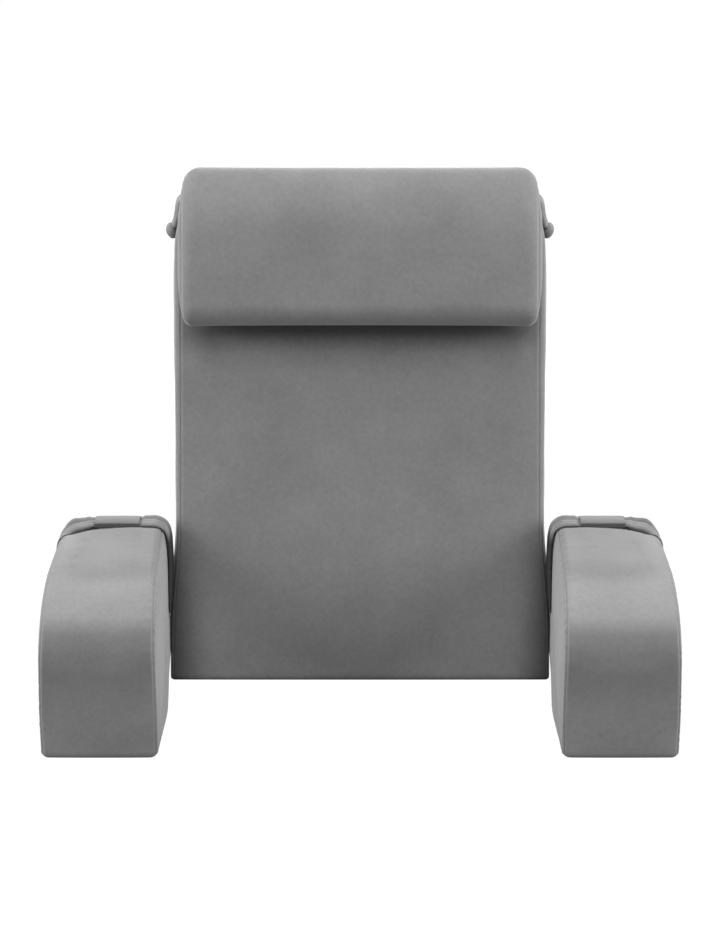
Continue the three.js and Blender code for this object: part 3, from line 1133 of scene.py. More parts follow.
    def _sew(self, piece: Object) -> list[np.ndarray]:
        """Press the sewn lines into the cover, roll the cloth beside them and pucker it.

        Args:
            piece: The filled cover.

        Returns:
            The points along the seam of each side panel.
        """
        style = self.seams
        seam = attribute_of(piece, SEAM).astype(float)
        turn = np.arctan2(attribute_of(piece, "turn_sin"), attribute_of(piece, "turn_cos")).astype(float)
        end = attribute_of(piece, "end")
        hem = np.full(len(seam), FAR_FROM_HEM)
        for corner in self.hems:
            off = self.run_from(corner, turn)
            hem = np.where(np.abs(off) < np.abs(hem), off, hem)
        hem = np.where(seam > -self.LEAST_INTO_STRIP, FAR_FROM_HEM, hem)
        put_attribute(piece, HEM, hem)
        lift = np.zeros(len(seam))
        for distance, depth in ((seam, 1.0), (hem, self.HEM_SHARE)):
            away = np.abs(distance)
            lift -= depth * style.groove * bell(away, 0.0, style.groove_width)
            lift += depth * style.roll * bell(away, style.roll_at, style.roll_width)
        length = self.outline.length
        ripples = [loop_ripple(turn, length, style.pucker_wave, self.seed + i) for i in range(4)]
        inner = np.where(end > 0.5, ripples[1], ripples[0])
        outer = np.where(end > 0.5, ripples[3], ripples[2])
        ripple = np.where(seam > 0, inner, outer)
        reach = np.exp(-np.abs(seam) / style.pucker_reach) * (1 - bell(seam, 0.0, style.pucker_start))
        off_floor = smoothstep(places_of(piece)[:, 2] / MM, *self.FLAT_FOOT)
        lift += self.pucker_at(turn, end) * ripple * reach
        places = places_of(piece) + normals_of(piece) * (lift * off_floor)[:, None] * MM
        places[:, 2] = np.maximum(places[:, 2], 0)
        put_places(piece, places)
        for name in ("turn_cos", "turn_sin", "end"):
            piece.data.attributes.remove(piece.data.attributes[name])
        lines = []
        for high in (False, True):
            on_line = np.flatnonzero((np.abs(seam) < self.ON_SEAM) & ((end > 0.5) == high))
            lines.append(places[on_line[np.argsort(turn[on_line])]])
        return lines

    def run_from(self, corner: int, turn: np.ndarray) -> np.ndarray:
        """How far along the outline each point is from a corner, in millimetres."""
        off = (turn - self.outline.corners[corner] + math.pi) % (2 * math.pi) - math.pi
        return off * self.outline.length / (2 * math.pi)

    def pucker_at(self, turn: np.ndarray, end: np.ndarray) -> np.ndarray:
        """How high the puckers stand at each point, in millimetres."""
        return np.full(len(turn), self.seams.pucker)


@dataclass
class Backrest(Pad):
    """The reclined wedge of the back, from a straight foot to a softly rounded top."""

    RECLINE = 0.2217
    # Painted shade on the back: low down beside the arms, and a painted shadow under the bolster.
    ARMS_SHADE = 0.75
    ARMS_SHADE_DEPTH = (280.0, 334.0)
    ARMS_SHADE_HEIGHT = (150.0, 230.0)
    ARMS_SHADE_ACROSS = (170.0, 252.0)
    ARMS_SHADE_FALL = 2.2
    HEADREST_ACROSS = (190.0, 218.0)
    UNDER_HEADREST = ((400, 0.0), (427, 0.18), (442, 0.3), (452, 0.44), (600, 0.44), (620, 0.0))
    FOOT_DEPTH = 233.5
    REAR_DEPTH = 470.0
    LEVELS = (
        (0.0, 248.9, 5.0),
        (70.0, 248.9, 6.0),
        (110.0, 246.8, 6.0),
        (150.0, 242.0, 6.0),
        (190.0, 239.8, 7.0),
        (440.0, 240.8, 11.0),
        (566.0, 240.5, 12.0),
        (594.0, 235.0, 16.0),
        (632.0, 231.5, 24.0),
    )
    FRONT_CROWNS = (0.0, 3.0, 5.0, 6.0, 7.0, 6.0, 3.8, 3.4, 3.0)
    REAR_CROWNS = (0.0, 4.0, 5.0, 6.0, 6.0, 6.0, 5.0, 4.0, 3.0)

    @classmethod
    def sized(cls, velvet: Material, thread: Material) -> "Backrest":
        """The back with the sizes of the real one.

        Args:
            velvet: The material of the cover.
            thread: The material of the stitches.

        Returns:
            The back, not yet built.
        """
        front = [
            cls._row(level, cls.FOOT_DEPTH + cls.RECLINE * level[0], crown)
            for level, crown in zip(cls.LEVELS, cls.FRONT_CROWNS)
        ]
        rear = [
            cls._row(level, cls.REAR_DEPTH, crown) for level, crown in zip(cls.LEVELS, cls.REAR_CROWNS)
        ]
        front[0] = replace(front[0], before=6, after=6)
        front[-1] = replace(front[-1], before=34, after=30)
        rear[-1] = replace(rear[-1], before=36, after=38)
        rear[0] = replace(rear[0], before=10, after=9)
        return cls(
            name="backrest",
            slot=Slot.BACK,
            velvet=velvet,
            thread=thread,
            rows=front + rear[::-1],
            middle=(380.0, 330.0),
            side_crown=2.6,
            count=256,
            strip_parts=66,
            seams=SeamStyle(angle=16.0, pucker=0.15, pucker_wave=17.0),
            hems=(0, 17),
            swell=1.2,
            seed=11,
        )

    @staticmethod
    def _row(level: tuple[float, float, float], depth: float, crown: float) -> Row:
        """A corner at one level of the back."""
        z, half, radius = level
        return Row(depth, z, -half, half, radius, radius, crown)

    def build(self) -> Object:
        """Make the back, with painted shade low beside the arms and a painted shadow under the bolster.

        Returns:
            The finished piece, declared to the frame.
        """
        piece = super().build()
        # Painted shade beside the arms and a painted shadow under the bolster, kept in the painted-shade
        # attribute.
        across, depth, height = (places_of(piece) / MM).T
        beside = falling(depth - FRONT_OF_ARMS, *self.ARMS_SHADE_DEPTH) * falling(height, *self.ARMS_SHADE_HEIGHT)
        arms_shade = beside * smoothstep(np.abs(across), *self.ARMS_SHADE_ACROSS) ** self.ARMS_SHADE_FALL
        heights, shares = zip(*self.UNDER_HEADREST)
        leant_on = facing_front(piece) * falling(np.abs(across), *self.HEADREST_ACROSS)
        bolster_shadow = leant_on * np.interp(height, heights, shares)
        put_attribute(piece, PAINTED_SHADE, np.maximum(self.ARMS_SHADE * arms_shade, bolster_shadow))
        return piece

    def panel_side(self, side: int, z: np.ndarray, share: float) -> np.ndarray:
        """The side of the back keeps the same width from front to rear at each height.

        Args:
            side: 0 for the left end and 1 for the right end.
            z: Height of each point.
            share: Not used, because the panel is flat.

        Returns:
            The place across of each point.
        """
        heights = [level[0] for level in self.LEVELS]
        halves = [level[1] for level in self.LEVELS]
        return np.interp(z, heights, halves) * (1 if side else -1)


@dataclass
class Arm(Pad):
    """An arm block with a curved front, a flat top and a straight rear."""

    INNER = 251.0
    OUTER = 396.0
    HEIGHT = 213.0
    LENGTH = 324.0
    TURN_REACH = 60.0
    TURN_PUCKER = 1.8
    # Painted shade on the arm: an even share on the side panels, and on the strip a share that changes
    # with height.
    PANEL_SHADE = 0.15
    STRIP_FACING = (0.3, 0.8)
    FRONT_TOP = 2
    STRIP_SHADE_BY_HEIGHT = (
        (0, 0.08),
        (45, 0.1),
        (80, 0.2),
        (115, 0.32),
        (139, 0.4),
        (162, 0.38),
        (180, 0.04),
        (204, 0.02),
        (211, 0.22),
    )

    @classmethod
    def sized(cls, side: Side, velvet: Material, thread: Material) -> "Arm":
        """The arm of one side with the sizes of the real one.

        Args:
            side: The side that the arm is on.
            velvet: The material of the cover.
            thread: The material of the stitches.

        Returns:
            The arm, not yet built.
        """
        top, rear = cls.HEIGHT, cls.LENGTH
        rows = [
            cls._row(-1.5, -0.5, (-0.4, 12), (-0.6, 11), before=6, after=6),
            cls._row(-3, 55, (-0.6, 7), (-0.8, 6), crown=2.5),
            cls._row(-4, top, (0.5, 12), (0.6, 14), crown=3.5, fall=1.5, before=94, after=140),
            cls._row(180, top + 1, (1, 14), (3.0, 17), crown=3, fall=6.4),
            cls._row(243, top, (2, 14), (4.8, 16), crown=3, fall=9),
            cls._row(rear + 2, top - 17.6, (2.4, 15), (9, 20), crown=3, fall=7, before=36, after=70),
            cls._row(rear, 50, (2.4, 10), (7, 12), crown=3),
            cls._row(rear, 0, (2.4, 12), (7, 9), before=10, after=10),
            cls._row(240, 0, (0.2, 8), (1, 8)),
            cls._row(130, 0, (-4.8, 5), (-1, 6)),
        ]
        return cls(
            name="arm_" + side.word,
            slot=Slot.ARM,
            velvet=velvet,
            thread=thread,
            rows=rows,
            middle=(165.0, 96.0),
            side_crown=2.0,
            count=160,
            strip_parts=18,
            side=side,
            seams=SeamStyle(angle=46.0, pucker=0.3, pucker_wave=11.0),
            hems=(0, 7),
            swell=0.9,
            seed=23 if side is Side.RIGHT else 37,
        )

    def build(self) -> Object:
        """Make the arm, with painted shade that changes up its front and lies evenly on its side panels.

        Returns:
            The finished piece, declared to the frame.
        """
        piece = super().build()
        # Painted shade: on the strip by height, and an even share on the side panels.
        heights, shares = zip(*self.STRIP_SHADE_BY_HEIGHT)
        on_strip = falling(np.abs(normals_of(piece)[:, 0]), *self.STRIP_FACING)
        turned = np.interp(places_of(piece)[:, 2] / MM, heights, shares)
        turned = on_strip * turned + (1 - on_strip) * self.PANEL_SHADE
        put_attribute(piece, PAINTED_SHADE, turned)
        return piece

    def pucker_at(self, turn: np.ndarray, end: np.ndarray) -> np.ndarray:
        """The inner seam puckers most where the top turns into the front.

        Args:
            turn: Place of each point on the outline, as an angle.
            end: 0 at the inner end and 1 at the outer end.

        Returns:
            The height of the puckers at each point, in millimetres.
        """
        away = self.run_from(self.FRONT_TOP, turn)
        turned = bell(away, 0.0, self.TURN_REACH) * (end < 0.5)
        return self.seams.pucker * (1 + self.TURN_PUCKER * turned)

    @classmethod
    def _row(
        cls,
        depth: float,
        z: float,
        inner: tuple[float, float],
        outer: tuple[float, float],
        crown: float = 0.0,
        fall: float = 0.0,
        before: float = 0.0,
        after: float = 0.0,
    ) -> Row:
        """A corner of the arm; inner and outer are how far that side is drawn in, and its rounding.

        Args:
            depth: Depth of the corner.
            z: Height of the corner.
            inner: For the side at the back.
            outer: For the far side.
            crown: How far the strip bulges.
            fall: How far its outer edge falls.
            before: Where the bend begins, before the corner.
            after: Where the bend ends, after the corner.

        Returns:
            The corner as a row.
        """
        return Row(
            depth,
            z,
            cls.INNER + inner[0],
            cls.OUTER - outer[0],
            inner[1],
            outer[1],
            crown,
            fall,
            before,
            after,
        )


@dataclass
class Headrest(Pad):
    """The bolster: drawn as a section on the reclined face of the back, and turned to lean on it."""

    START = 474.4
    HEIGHT = 201.6
    THICKNESS = 96.0
    HALF = 226.0
    REAR = 1.2
    MIDDLE_UP = 0.48
    # Painted shade on the bolster where it lies close to the reclined back.
    SHADE_NEAR_BACK = 0.6
    SHADE_NEAR_BACK_REACH = (4.0, 18.0)

    @classmethod
    def sized(cls, velvet: Material, thread: Material) -> "Headrest":
        """The bolster with the sizes of the real one.

        Args:
            velvet: The material of the cover.
            thread: The material of the stitches.

        Returns:
            The bolster, not yet built.
        """
        rows = [
            cls._row(0, cls.THICKNESS, 1, 14, 27, 28),
            cls._row(cls.HEIGHT, cls.THICKNESS, 2.5, 24, 84, 52),
            cls._row(cls.HEIGHT, cls.REAR, -2, 24, 34, 40),
            cls._row(0, cls.REAR, -6, 14, 22, 22),
        ]
        return cls(
            name="headrest",
            slot=Slot.HEADREST,
            velvet=velvet,
            thread=thread,
            rows=rows,
            middle=cls.on_face(cls.START + cls.HEIGHT * cls.MIDDLE_UP, cls.THICKNESS / 2),
            side_crown=5.0,
            count=96,
            strip_parts=64,
            seams=SeamStyle(angle=72.0, groove=0.6, pucker=0.2, pucker_wave=14.0),
            hems=(),
            swell=1.0,
            seed=51,
            fill=0.8,
        )

    def build(self) -> Object:
        """Make the bolster, with painted shade where it lies close to the back.

        Returns:
            The finished piece, declared to the frame.
        """
        piece = super().build()
        _, depth, height = (places_of(piece) / MM).T
        off_face = Backrest.FOOT_DEPTH + Backrest.RECLINE * height - (depth - FRONT_OF_ARMS)
        put_attribute(piece, PAINTED_SHADE, self.SHADE_NEAR_BACK * falling(off_face, *self.SHADE_NEAR_BACK_REACH))
        return piece

    @staticmethod
    def on_face(up: float, out: float) -> tuple[float, float]:
        """The depth and height of a point this far up the reclined face and this far off it.

        Args:
            up: Distance up the face.
            out: Distance off the face.

        Returns:
            The depth and the height.
        """
        slope = math.hypot(1, Backrest.RECLINE)
        rise, run = 1 / slope, Backrest.RECLINE / slope
        return (Backrest.FOOT_DEPTH + run * up - rise * out, rise * up + run * out)

    @classmethod
    def _row(cls, up: float, out: float, crown: float, radius: float, before: float, after: float) -> Row:
        """A corner of the bolster's section."""
        depth, z = cls.on_face(cls.START + up, out)
        return Row(depth, z, -cls.HALF, cls.HALF, radius, radius, crown, 0.0, before, after)


# Straps and ties


@dataclass
class ThinPiece:
    """A thin piece of velvet on one side of the part: strap, keeper, tie or knot."""

    side: Side
    velvet: Material

    def finished(self, node: str, rings: list[np.ndarray], slot: Slot, closed: bool = False) -> Object:
        """Args:
            node: The solid that it stands for, without its side.
            rings: The points of each ring, in millimetres.
            slot: Where the record gives its finish; not used.
            closed: Whether the last ring joins the first.

        Returns:
            The finished piece.
        """
        node = node + "_" + self.side.word
        points = np.concatenate(rings)
        faces = turned_outward(points, band_faces(len(rings), len(rings[0]), closed))
        piece = make_mesh(node + "_cloth", points, faces, self.side is Side.LEFT)
        for attribute in (SEAM, HEM):
            put_attribute(piece, attribute, np.full(len(points), NO_SEAM))
        subdivided(piece, 1)
        piece.data.materials.append(self.velvet)
        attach(piece, BODY)
        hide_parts(node)
        LOG.info("%s: %d points", piece.name, len(piece.data.vertices))
        return piece


def laid_on(piece: Object, under: Object, gap: float, body: float) -> None:
    """Lift cloth out of what it lies on, and keep some of its thickness there.

    Args:
        piece: The cloth, whose points are pushed outward.
        under: What it lies on.
        gap: Least distance between the two in millimetres.
        body: How much of the cloth's thickness is kept where it would sink in, in millimetres.
    """
    tree = BVHTree.FromObject(under, bpy.context.evaluated_depsgraph_get())
    places = places_of(piece)
    facing = normals_of(piece)
    for number, place in enumerate(places):
        near, outward, _, _ = tree.find_nearest(place, SINKS_AT_MOST * MM)
        if near is None:
            continue
        height = (Vector(place) - near).dot(outward)
        upper = max(0.0, Vector(facing[number]).dot(outward))
        least = (gap + body * upper) * MM
        if height < least:
            places[number] = near + outward * least
    put_places(piece, places)


@dataclass
class GripStrap(ThinPiece):
    """A soft doubled band over the rear of an arm, gathered where its keeper holds it.

    TABLE gives, from the inner end over the arm to the outer end, the place across and the height of
    the band's underside in a leaning plane, then half the band's width, and its thickness.
    The WAY of a fold is where it lies across the band, how far it sways, and how often. Its other numbers
    are shares of the band: how deep it is, and how wide; CREASE_DEPTH adds what the keeper's hold adds.
    """

    depth: float = 266.0
    lean: float = math.radians(10)
    base: float = 208.1
    kept_half: float = 18.5
    kept_thick: float = 4.0
    keeper_at: float = 315.0
    keeper_length: float = 60.0
    keeper_lift: float = 3.4
    droop: float = 1.7
    end_droop: float = 2.4
    droop_reach: float = 1.2
    stations: int = 190
    top_parts: int = 38
    under_parts: int = 10
    TABLE = (
        (250.4, -112.0, 18.0, 3.4),
        (250.0, -96.0, 20.0, 4.4),
        (249.8, -78.0, 21.0, 5.0),
        (249.6, -50.0, 21.0, 5.8),
        (249.8, -26.0, 21.5, 5.4),
        (250.6, -12.0, 22.0, 5.0),
        (254.6, -2.0, 22.0, 6.0),
        (264.0, 2.0, 22.0, 8.4),
        (275.0, 2.6, 21.5, 8.2),
        (281.0, 2.8, 21.0, 7.8),
        (284.4, 3.0, 19.5, 6.2),
        (289.0, 3.4, 18.5, 4.0),
        (315.0, 3.4, 18.5, 4.0),
        (341.0, 3.4, 18.5, 4.0),
        (345.6, 2.6, 19.5, 6.4),
        (349.0, 1.0, 21.0, 9.0),
        (354.0, -0.8, 21.5, 9.6),
        (361.0, -3.0, 22.0, 11.0),
        (369.0, -5.6, 22.5, 12.6),
        (377.0, -9.2, 22.5, 10.2),
        (384.4, -13.2, 22.5, 5.6),
        (388.8, -18.4, 22.0, 3.2),
        (390.0, -34.0, 22.0, 2.4),
        (390.2, -56.0, 21.0, 2.2),
    )

    ARM_GAP = 0.7
    # Painted shade: where the strap hangs down inside the arm, and on its parts that face the front.
    HANGING_SHADE = 0.9
    HANGING_ACROSS = (248.0, 258.0)
    HANGING_HEIGHT = (190.0, 212.0)
    DROOP_FROM = (362.0, 384.0)
    GATHER_REACH = 22.0
    END_FADE = 0.03
    END_THICKNESS = 0.25
    UNDER_REACH = 0.9
    EDGE_RISE = 0.26
    OTHER_PHASE = 1.7
    CREASE = 0.15
    CREASE_WAY = (0.02, 0.1, 11)
    CREASE_DEPTH = (0.5, 0.1)
    CREST = (0.94, 0.2)
    FRONT_FOLD = (0.14, 0.11)
    FRONT_FOLD_WAY = (0.56, 0.08, 17)
    REAR_FOLD = (0.08, 0.6, 0.1)
    FRONT_SHADE = 0.5
    KEPT_BODY = 1.8

    def in_plane(self, x: np.ndarray, height: np.ndarray, across: np.ndarray) -> np.ndarray:
        """Turn places in the leaning plane of the strap into the part's frame.

        Args:
            x: Places from left to right.
            height: Places up the leaning plane.
            across: Places across the band.

        Returns:
            One row for each place.
        """
        front = smoothstep(-across / self.kept_half, 0.0, self.droop_reach)
        height = height - (self.droop + self.end_droop * smoothstep(x, *self.DROOP_FROM)) * front
        up = (math.sin(self.lean), math.cos(self.lean))
        over = (math.cos(self.lean), -math.sin(self.lean))
        depth = self.depth + up[0] * height + over[0] * across + FRONT_OF_ARMS
        z = self.base + up[1] * height + over[1] * across
        return np.stack(np.broadcast_arrays(x, depth, z), axis=-1)

    def build(self) -> Object:
        """Make the band with its two ridges and the folds that run out of the keeper.

        Returns:
            The finished piece, declared to the frame.
        """
        table = np.array([(x, height, 0.0, half, thick) for x, height, half, thick in self.TABLE])
        line, along = smooth_path(table, self.stations)
        from_keeper = np.maximum(0, np.abs(line[:, 0] - self.keeper_at) - self.keeper_length / 2)
        run = np.linspace(0, 1, self.stations)
        end_fade = smoothstep(np.minimum(run, 1 - run), 0, self.END_FADE)
        full = self.END_THICKNESS + (1 - self.END_THICKNESS) * end_fade
        share = np.cos(np.linspace(math.pi, 0, self.top_parts))
        under_share = np.linspace(self.UNDER_REACH, -self.UNDER_REACH, self.under_parts)
        rings = []
        for i in range(self.stations):
            x, height, _, half, thick = line[i]
            near = math.exp(-from_keeper[i] / self.GATHER_REACH)
            top = np.stack([share * half, thick * full[i] * self._rise(share, run[i], near)], axis=1)
            under = np.stack([under_share * half, np.zeros(self.under_parts)], axis=1)
            section = np.concatenate([top, under])
            rings.append(
                self.in_plane(
                    x - along[i, 1] * section[:, 1], height + along[i, 0] * section[:, 1], section[:, 0]
                )
            )
        piece = self.finished("arm_strap", rings, Slot.STRAP)
        # Painted shade on the part that hangs down inside the arm and on the parts that face the front.
        across, _, height = (places_of(piece) / MM).T
        hanging = falling(np.abs(across), *self.HANGING_ACROSS) * falling(height, *self.HANGING_HEIGHT)
        dark = np.maximum(self.HANGING_SHADE * hanging, self.FRONT_SHADE * facing_front(piece))
        put_attribute(piece, PAINTED_SHADE, dark)
        return piece

    def _rise(self, share: np.ndarray, run: float, near: float) -> np.ndarray:
        """The section of the band's upper side: two ridges, with the crease between them and two folds.

        Args:
            share: Place across the band, from -1 to 1.
            run: Place along the band, from 0 to 1.
            near: How near the keeper is, from 0 to 1.

        Returns:
            The height at each place, as a share of the band's thickness.
        """
        phase = 0.0 if self.side is Side.RIGHT else self.OTHER_PHASE
        at, sway, turns = self.CREASE_WAY
        middle = at + sway * math.sin(run * turns + phase)
        level, step = self.CREST
        crest = level + step * np.tanh((share - middle) / self.CREASE)
        shallow, gathered = self.CREASE_DEPTH
        crest = crest - (shallow + gathered * near) * bell(share, middle, self.CREASE)
        depth, width = self.FRONT_FOLD
        at, sway, turns = self.FRONT_FOLD_WAY
        crest = crest - depth * near * bell(share, -at - sway * math.sin(run * turns + phase), width)
        depth, at, width = self.REAR_FOLD
        crest = crest - depth * near * bell(share, at, width)
        rounded = (1 - share**4) ** 0.5
        return self.EDGE_RISE + (1 - self.EDGE_RISE) * rounded * crest


@dataclass
class Keeper(ThinPiece):
    """The ruched sleeve around the middle of a grip strap."""

    strap: GripStrap
    thickness: float = 1.5
    clearance: float = 0.4
    core_swell: float = 1.12
    squareness: float = 0.42
    pucker: float = 0.2
    pucker_wave: float = 0.5
    calm_middle: float = 0.06
    thin_end: float = 0.35
    full_middle: float = 0.75
    ragged: float = 0.9
    ragged_wave: float = 0.7
    stations: int = 38
    inner_stations: int = 8
    sides: int = 96
    # Painted shade over the whole sleeve.
    KEEPER_SHADE = 0.2
    SEEDS = {Side.RIGHT: 71, Side.LEFT: 73}

    def build(self) -> Object:
        """Make the sleeve, thin at its ends, with creases that run from end to end.

        Returns:
            The finished piece, declared to the frame.
        """
        strap = self.strap
        core_half = strap.kept_half + 2 * self.clearance
        core_rise = strap.kept_thick * self.core_swell + 3 * self.clearance
        base = strap.keeper_lift - 1.5 * self.clearance
        turn = np.arange(self.sides) * 2 * math.pi / self.sides
        seed = self.SEEDS[self.side]
        creases = self.pucker * loop_ripple(turn, 2 * math.pi, self.pucker_wave, seed)
        ragged = self.ragged * loop_ripple(turn, 2 * math.pi, self.ragged_wave, seed + 1)
        rings = []
        for place in np.linspace(-1, 1, self.stations):
            fat = (1 - abs(place) ** 5) ** 0.4
            grow = self.thickness * (self.thin_end + self.full_middle * fat)
            bend = 1 + creases * (self.calm_middle + (1 - self.calm_middle) * place**4) * fat
            length = strap.keeper_length / 2 + ragged * abs(place) ** 6
            rings.append(self._ring(place * length, core_half, core_rise, base, grow * bend, turn))
        for place in np.linspace(1, -1, self.inner_stations):
            x = place * (strap.keeper_length / 2 - 1)
            rings.append(self._ring(x, core_half, core_rise, base, 0 * turn, turn))
        piece = self.finished("strap_keeper", rings, Slot.STRAP, closed=True)
        # Painted shade over all the sleeve, and more where it faces the front.
        put_attribute(piece, PAINTED_SHADE, self.KEEPER_SHADE + strap.FRONT_SHADE * facing_front(piece))
        return piece

    def _ring(
        self, x: np.ndarray, half: float, rise: float, base: float, grow: np.ndarray, turn: np.ndarray
    ) -> np.ndarray:
        """One ring of the sleeve, this much thicker than the strap that it holds.

        Args:
            x: Place along the strap.
            half: Half the strap's width.
            rise: The strap's height.
            base: Height of the strap's underside.
            grow: How much thicker the sleeve is at each point.
            turn: Place of each point on the ring, as an angle.

        Returns:
            The points of the ring.
        """
        across = (half + grow) * self._squarish(np.cos(turn))
        height = base + rise / 2 + (rise / 2 + grow) * self._squarish(np.sin(turn))
        return self.strap.in_plane(self.strap.keeper_at + x, height, across)

    def _squarish(self, value: np.ndarray) -> np.ndarray:
        """Push a sine or cosine outward, so that a ring is nearly a rectangle."""
        return np.sign(value) * np.abs(value) ** self.squareness


@dataclass
class Tie(ThinPiece):
    """A creased cloth tie from behind the end of the bolster, over the side of the back, to its knot.

    TABLE gives the place across, depth and height of the tie's middle, then its width and thickness.
    """

    stations: int = 60
    sides: int = 40
    LAY = (0.0, 1.0, 0.2)
    CREASES = 1.5
    CREASE_SLANT = 5.5
    CREASE_DEPTH = 0.3
    WRINKLES = 5
    WRINKLE_SLANT = 9
    WRINKLE_DEPTH = 0.05
    TABLE = (
        (208.0, 375.8, 624.0, 11.0, 5.0),
        (221.6, 381.0, 621.6, 13.0, 5.6),
        (231.2, 385.6, 614.6, 18.0, 8.4),
        (233.8, 389.6, 605.6, 21.0, 11.4),
        (234.6, 393.0, 597.0, 21.0, 11.6),
        (237.2, 396.4, 587.0, 20.0, 11.2),
        (240.6, 400.0, 576.0, 18.0, 10.4),
    )

    def build(self) -> Object:
        """Make the tie as a flat tube with creases that slant across it.

        Returns:
            The finished piece, declared to the frame.
        """
        line, along = smooth_path(np.array(self.TABLE), self.stations)
        turn = np.arange(self.sides) * 2 * math.pi / self.sides
        rings = []
        for i in range(self.stations):
            run = i / self.stations
            across = np.cross(self.LAY, along[i])
            across /= np.linalg.norm(across)
            over = np.cross(across, along[i])
            crease = np.abs(np.sin(self.CREASES * turn + self.CREASE_SLANT * run)) ** 0.5
            wrinkle = np.sin(self.WRINKLES * turn - self.WRINKLE_SLANT * run)
            pleat = 1 - self.CREASE_DEPTH * (1 - crease) + self.WRINKLE_DEPTH * wrinkle
            thin = np.cos(turn) * line[i, 4] / 2 * pleat
            broad = np.sin(turn) * line[i, 3] / 2 * (0.9 + 0.1 * pleat)
            ring = line[i, :3] + thin[:, None] * across + broad[:, None] * over
            rings.append(ring + np.array([0, FRONT_OF_ARMS, 0]))
        return self.finished("tie", rings, Slot.TIE)


@dataclass
class Knot(ThinPiece):
    """The knot at the end of a tie: a tilted ball of cloth in slanting turns."""

    centre: tuple[float, float, float] = (245.0, 404.0, 567.0)
    size: tuple[float, float, float] = (7.2, 9.0, 11.6)
    tilt: float = math.radians(24)
    twist: float = 2.6
    roll: float = math.radians(10)
    turns_across: int = 3
    ridge: float = 0.24
    ridge_sharpness: float = 0.7
    ridge_sunk: float = 0.6
    pole: float = 0.04
    stations: int = 40
    sides: int = 54

    def build(self) -> Object:
        """Make the knot.

        Returns:
            The finished piece, declared to the frame.
        """
        turn = np.arange(self.sides) * 2 * math.pi / self.sides
        rings = []
        for rise in np.linspace(self.pole, math.pi - self.pole, self.stations):
            wrap = np.cos(self.turns_across * turn / 2 + self.twist * rise)
            swell = 1 + self.ridge * (np.abs(wrap) ** self.ridge_sharpness - self.ridge_sunk)
            x = self.size[0] * math.sin(rise) * np.cos(turn) * swell
            y = self.size[1] * math.sin(rise) * np.sin(turn) * swell
            z = np.full(self.sides, self.size[2] * math.cos(rise))
            tilted_y = y * math.cos(self.tilt) - z * math.sin(self.tilt)
            tilted_z = y * math.sin(self.tilt) + z * math.cos(self.tilt)
            rolled_x = x * math.cos(self.roll) + tilted_z * math.sin(self.roll)
            rolled_z = tilted_z * math.cos(self.roll) - x * math.sin(self.roll)
            ring = np.stack([rolled_x, tilted_y + FRONT_OF_ARMS, rolled_z], axis=1)
            rings.append(ring + np.array(self.centre))
        return self.finished("tie_knot", rings, Slot.TIE)


# Studio


@dataclass(frozen=True)
class Softbox:
    """A soft light: its place and size in metres, and its power in watts."""

    name: str
    at: tuple[float, float, float]
    size: tuple[float, float]
    power: float


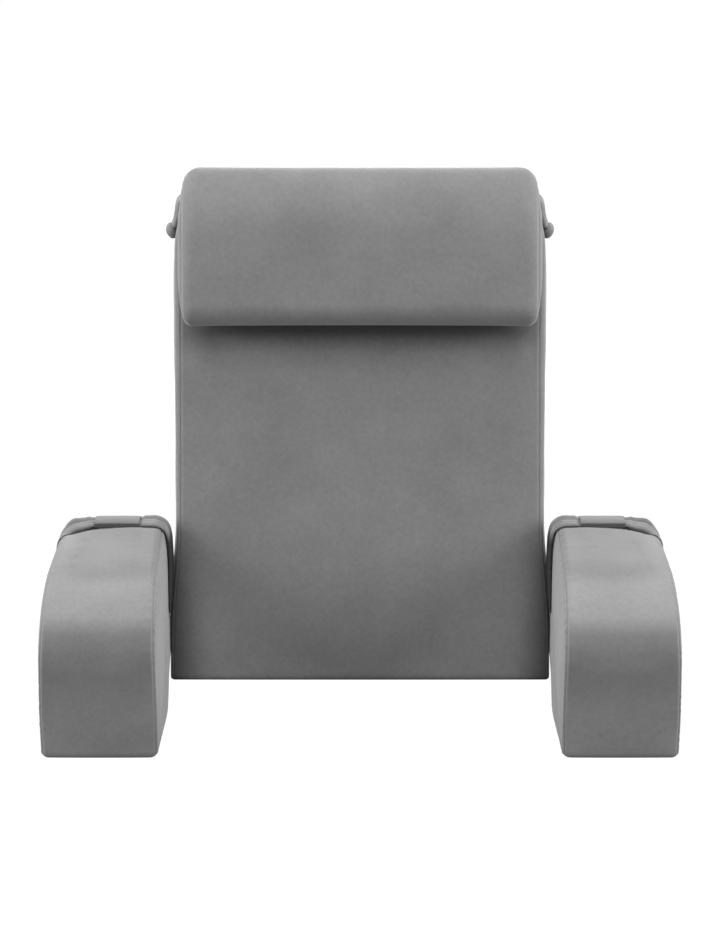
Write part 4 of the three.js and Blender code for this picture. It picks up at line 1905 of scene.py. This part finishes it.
@dataclass
class Studio:
    """A white floor, soft light from above, in front and the sides, and the photograph's camera."""

    LIGHTS = (
        Softbox("overhead_softbox", (0.0, 0.6, 3.5), (3.0, 2.2), 60.0),
        Softbox("overhead_front_softbox", (0.0, -0.8, 3.4), (3.0, 2.2), 63.0),
        Softbox("high_front_softbox", (0.0, -3.6, 3.0), (2.4, 1.5), 116.0),
        Softbox("left_rear_softbox", (-3.0, 0.7, 1.4), (1.6, 1.6), 83.0),
        Softbox("right_rear_softbox", (3.0, 0.7, 1.4), (1.6, 1.6), 83.0),
        Softbox("left_front_softbox", (-3.0, -1.5, 1.4), (1.6, 1.6), 78.0),
        Softbox("right_front_softbox", (3.0, -1.5, 1.4), (1.6, 1.6), 78.0),
    )
    AIM = (0.0, 0.1, 0.35)

    camera_at: tuple[float, float, float] = (0.0, -3.609, 1.618)
    pitch_down: float = math.radians(20)
    lens: float = 116.33
    sensor: float = 36.0
    floor_half: float = 30.0
    floor_tone: str = "#5c5c5c"
    backlight: float = 1.24
    glow_share: float = 0.82
    sky: float = 0.0

    def build(self) -> None:
        """Make the camera, the lights and the floor."""
        self._camera()
        for softbox in self.LIGHTS:
            self._light(softbox)
        world = bpy.data.worlds.new("studio")
        world.use_nodes = True
        bpy.context.scene.world = world
        sky = world.node_tree.nodes["Background"]
        sky.inputs["Color"].default_value = linear_colour("#ffffff")
        sky.inputs["Strength"].default_value = self.sky
        bpy.context.scene.view_settings.view_transform = "Standard"
        self._floor()

    def _camera(self) -> None:
        """Place the camera where the photograph was taken from."""
        lens = bpy.data.cameras.new("camera")
        lens.lens = self.lens
        lens.sensor_width = self.sensor
        lens.clip_end = 100
        camera = in_scene("camera", lens)
        camera.location = self.camera_at
        camera.rotation_euler = (math.pi / 2 - self.pitch_down, 0, 0)
        bpy.context.scene.camera = camera

    def _light(self, softbox: Softbox) -> None:
        """Hang a soft light, turned to the middle of the part.

        Args:
            softbox: The light.
        """
        light = bpy.data.lights.new(softbox.name, "AREA")
        light.shape = "RECTANGLE"
        light.size, light.size_y = softbox.size
        light.energy = softbox.power
        lamp = in_scene(softbox.name, light)
        lamp.location = softbox.at
        way = Vector(self.AIM) - Vector(softbox.at)
        lamp.rotation_euler = way.to_track_quat("-Z", "Y").to_euler()

    def _floor(self) -> None:
        """Lay the pale floor."""
        half = self.floor_half
        corners = [(-half, -half, 0), (half, -half, 0), (half, half, 0), (-half, half, 0)]
        mesh = bpy.data.meshes.new("floor")
        mesh.from_pydata(corners, [], [(0, 1, 2, 3)])
        floor = in_scene("floor", mesh)
        mesh.materials.append(self._paper())

    def _paper(self) -> Material:
        """Matt backdrop paper that glows towards the camera, so the floor photographs as white.

        Returns:
            The material of the floor.
        """
        paper = empty_material("floor_matt_paper")
        tree = paper.node_tree
        matt = add_node(tree, "ShaderNodeBsdfDiffuse", {"Color": linear_colour(self.floor_tone)})
        glow = add_node(tree, "ShaderNodeEmission", {"Strength": self.backlight})
        seen = add_node(tree, "ShaderNodeLightPath").outputs["Is Camera Ray"]
        share = calculated(tree, "MULTIPLY", {0: seen, 1: self.glow_share})
        mix = add_node(
            tree,
            "ShaderNodeMixShader",
            links={0: share, 1: matt.outputs["BSDF"], 2: glow.outputs["Emission"]},
        )
        add_node(tree, "ShaderNodeOutputMaterial", links={"Surface": mix.outputs["Shader"]})
        return paper


def main() -> None:
    """Build the studio and every piece."""
    logging.basicConfig(level=logging.INFO, format="%(name)s: %(message)s")
    Studio().build()
    # The one grey velvet gets lighter copies for the arms, the ties and, a little, the back than for the
    # bolster and straps: painted light on those pieces.
    velvet = Velvet("back_velvet_polyester", body="#626262", brushed="#6e6e6e").material()
    arm_velvet = Velvet("arm_velvet_polyester", body="#6e6e6e", brushed="#7a7a7a").material()
    head_velvet = Velvet("headrest_velvet_polyester").material()
    strap_velvet = Velvet("strap_velvet_polyester").material()
    tie_velvet = Velvet("tie_velvet_polyester", body="#6d6d6d", brushed="#797979").material()
    thread = SewingThread().material()
    Backrest.sized(velvet, thread).build()
    Headrest.sized(head_velvet, thread).build()
    for side in Side:
        arm = Arm.sized(side, arm_velvet, thread).build()
        strap = GripStrap(side, strap_velvet)
        laid_on(strap.build(), arm, strap.ARM_GAP, strap.KEPT_BODY)
        Keeper(side, strap_velvet, strap).build()
        Tie(side, tie_velvet).build()
        Knot(side, tie_velvet).build()


if __name__ == "__main__":
    main()
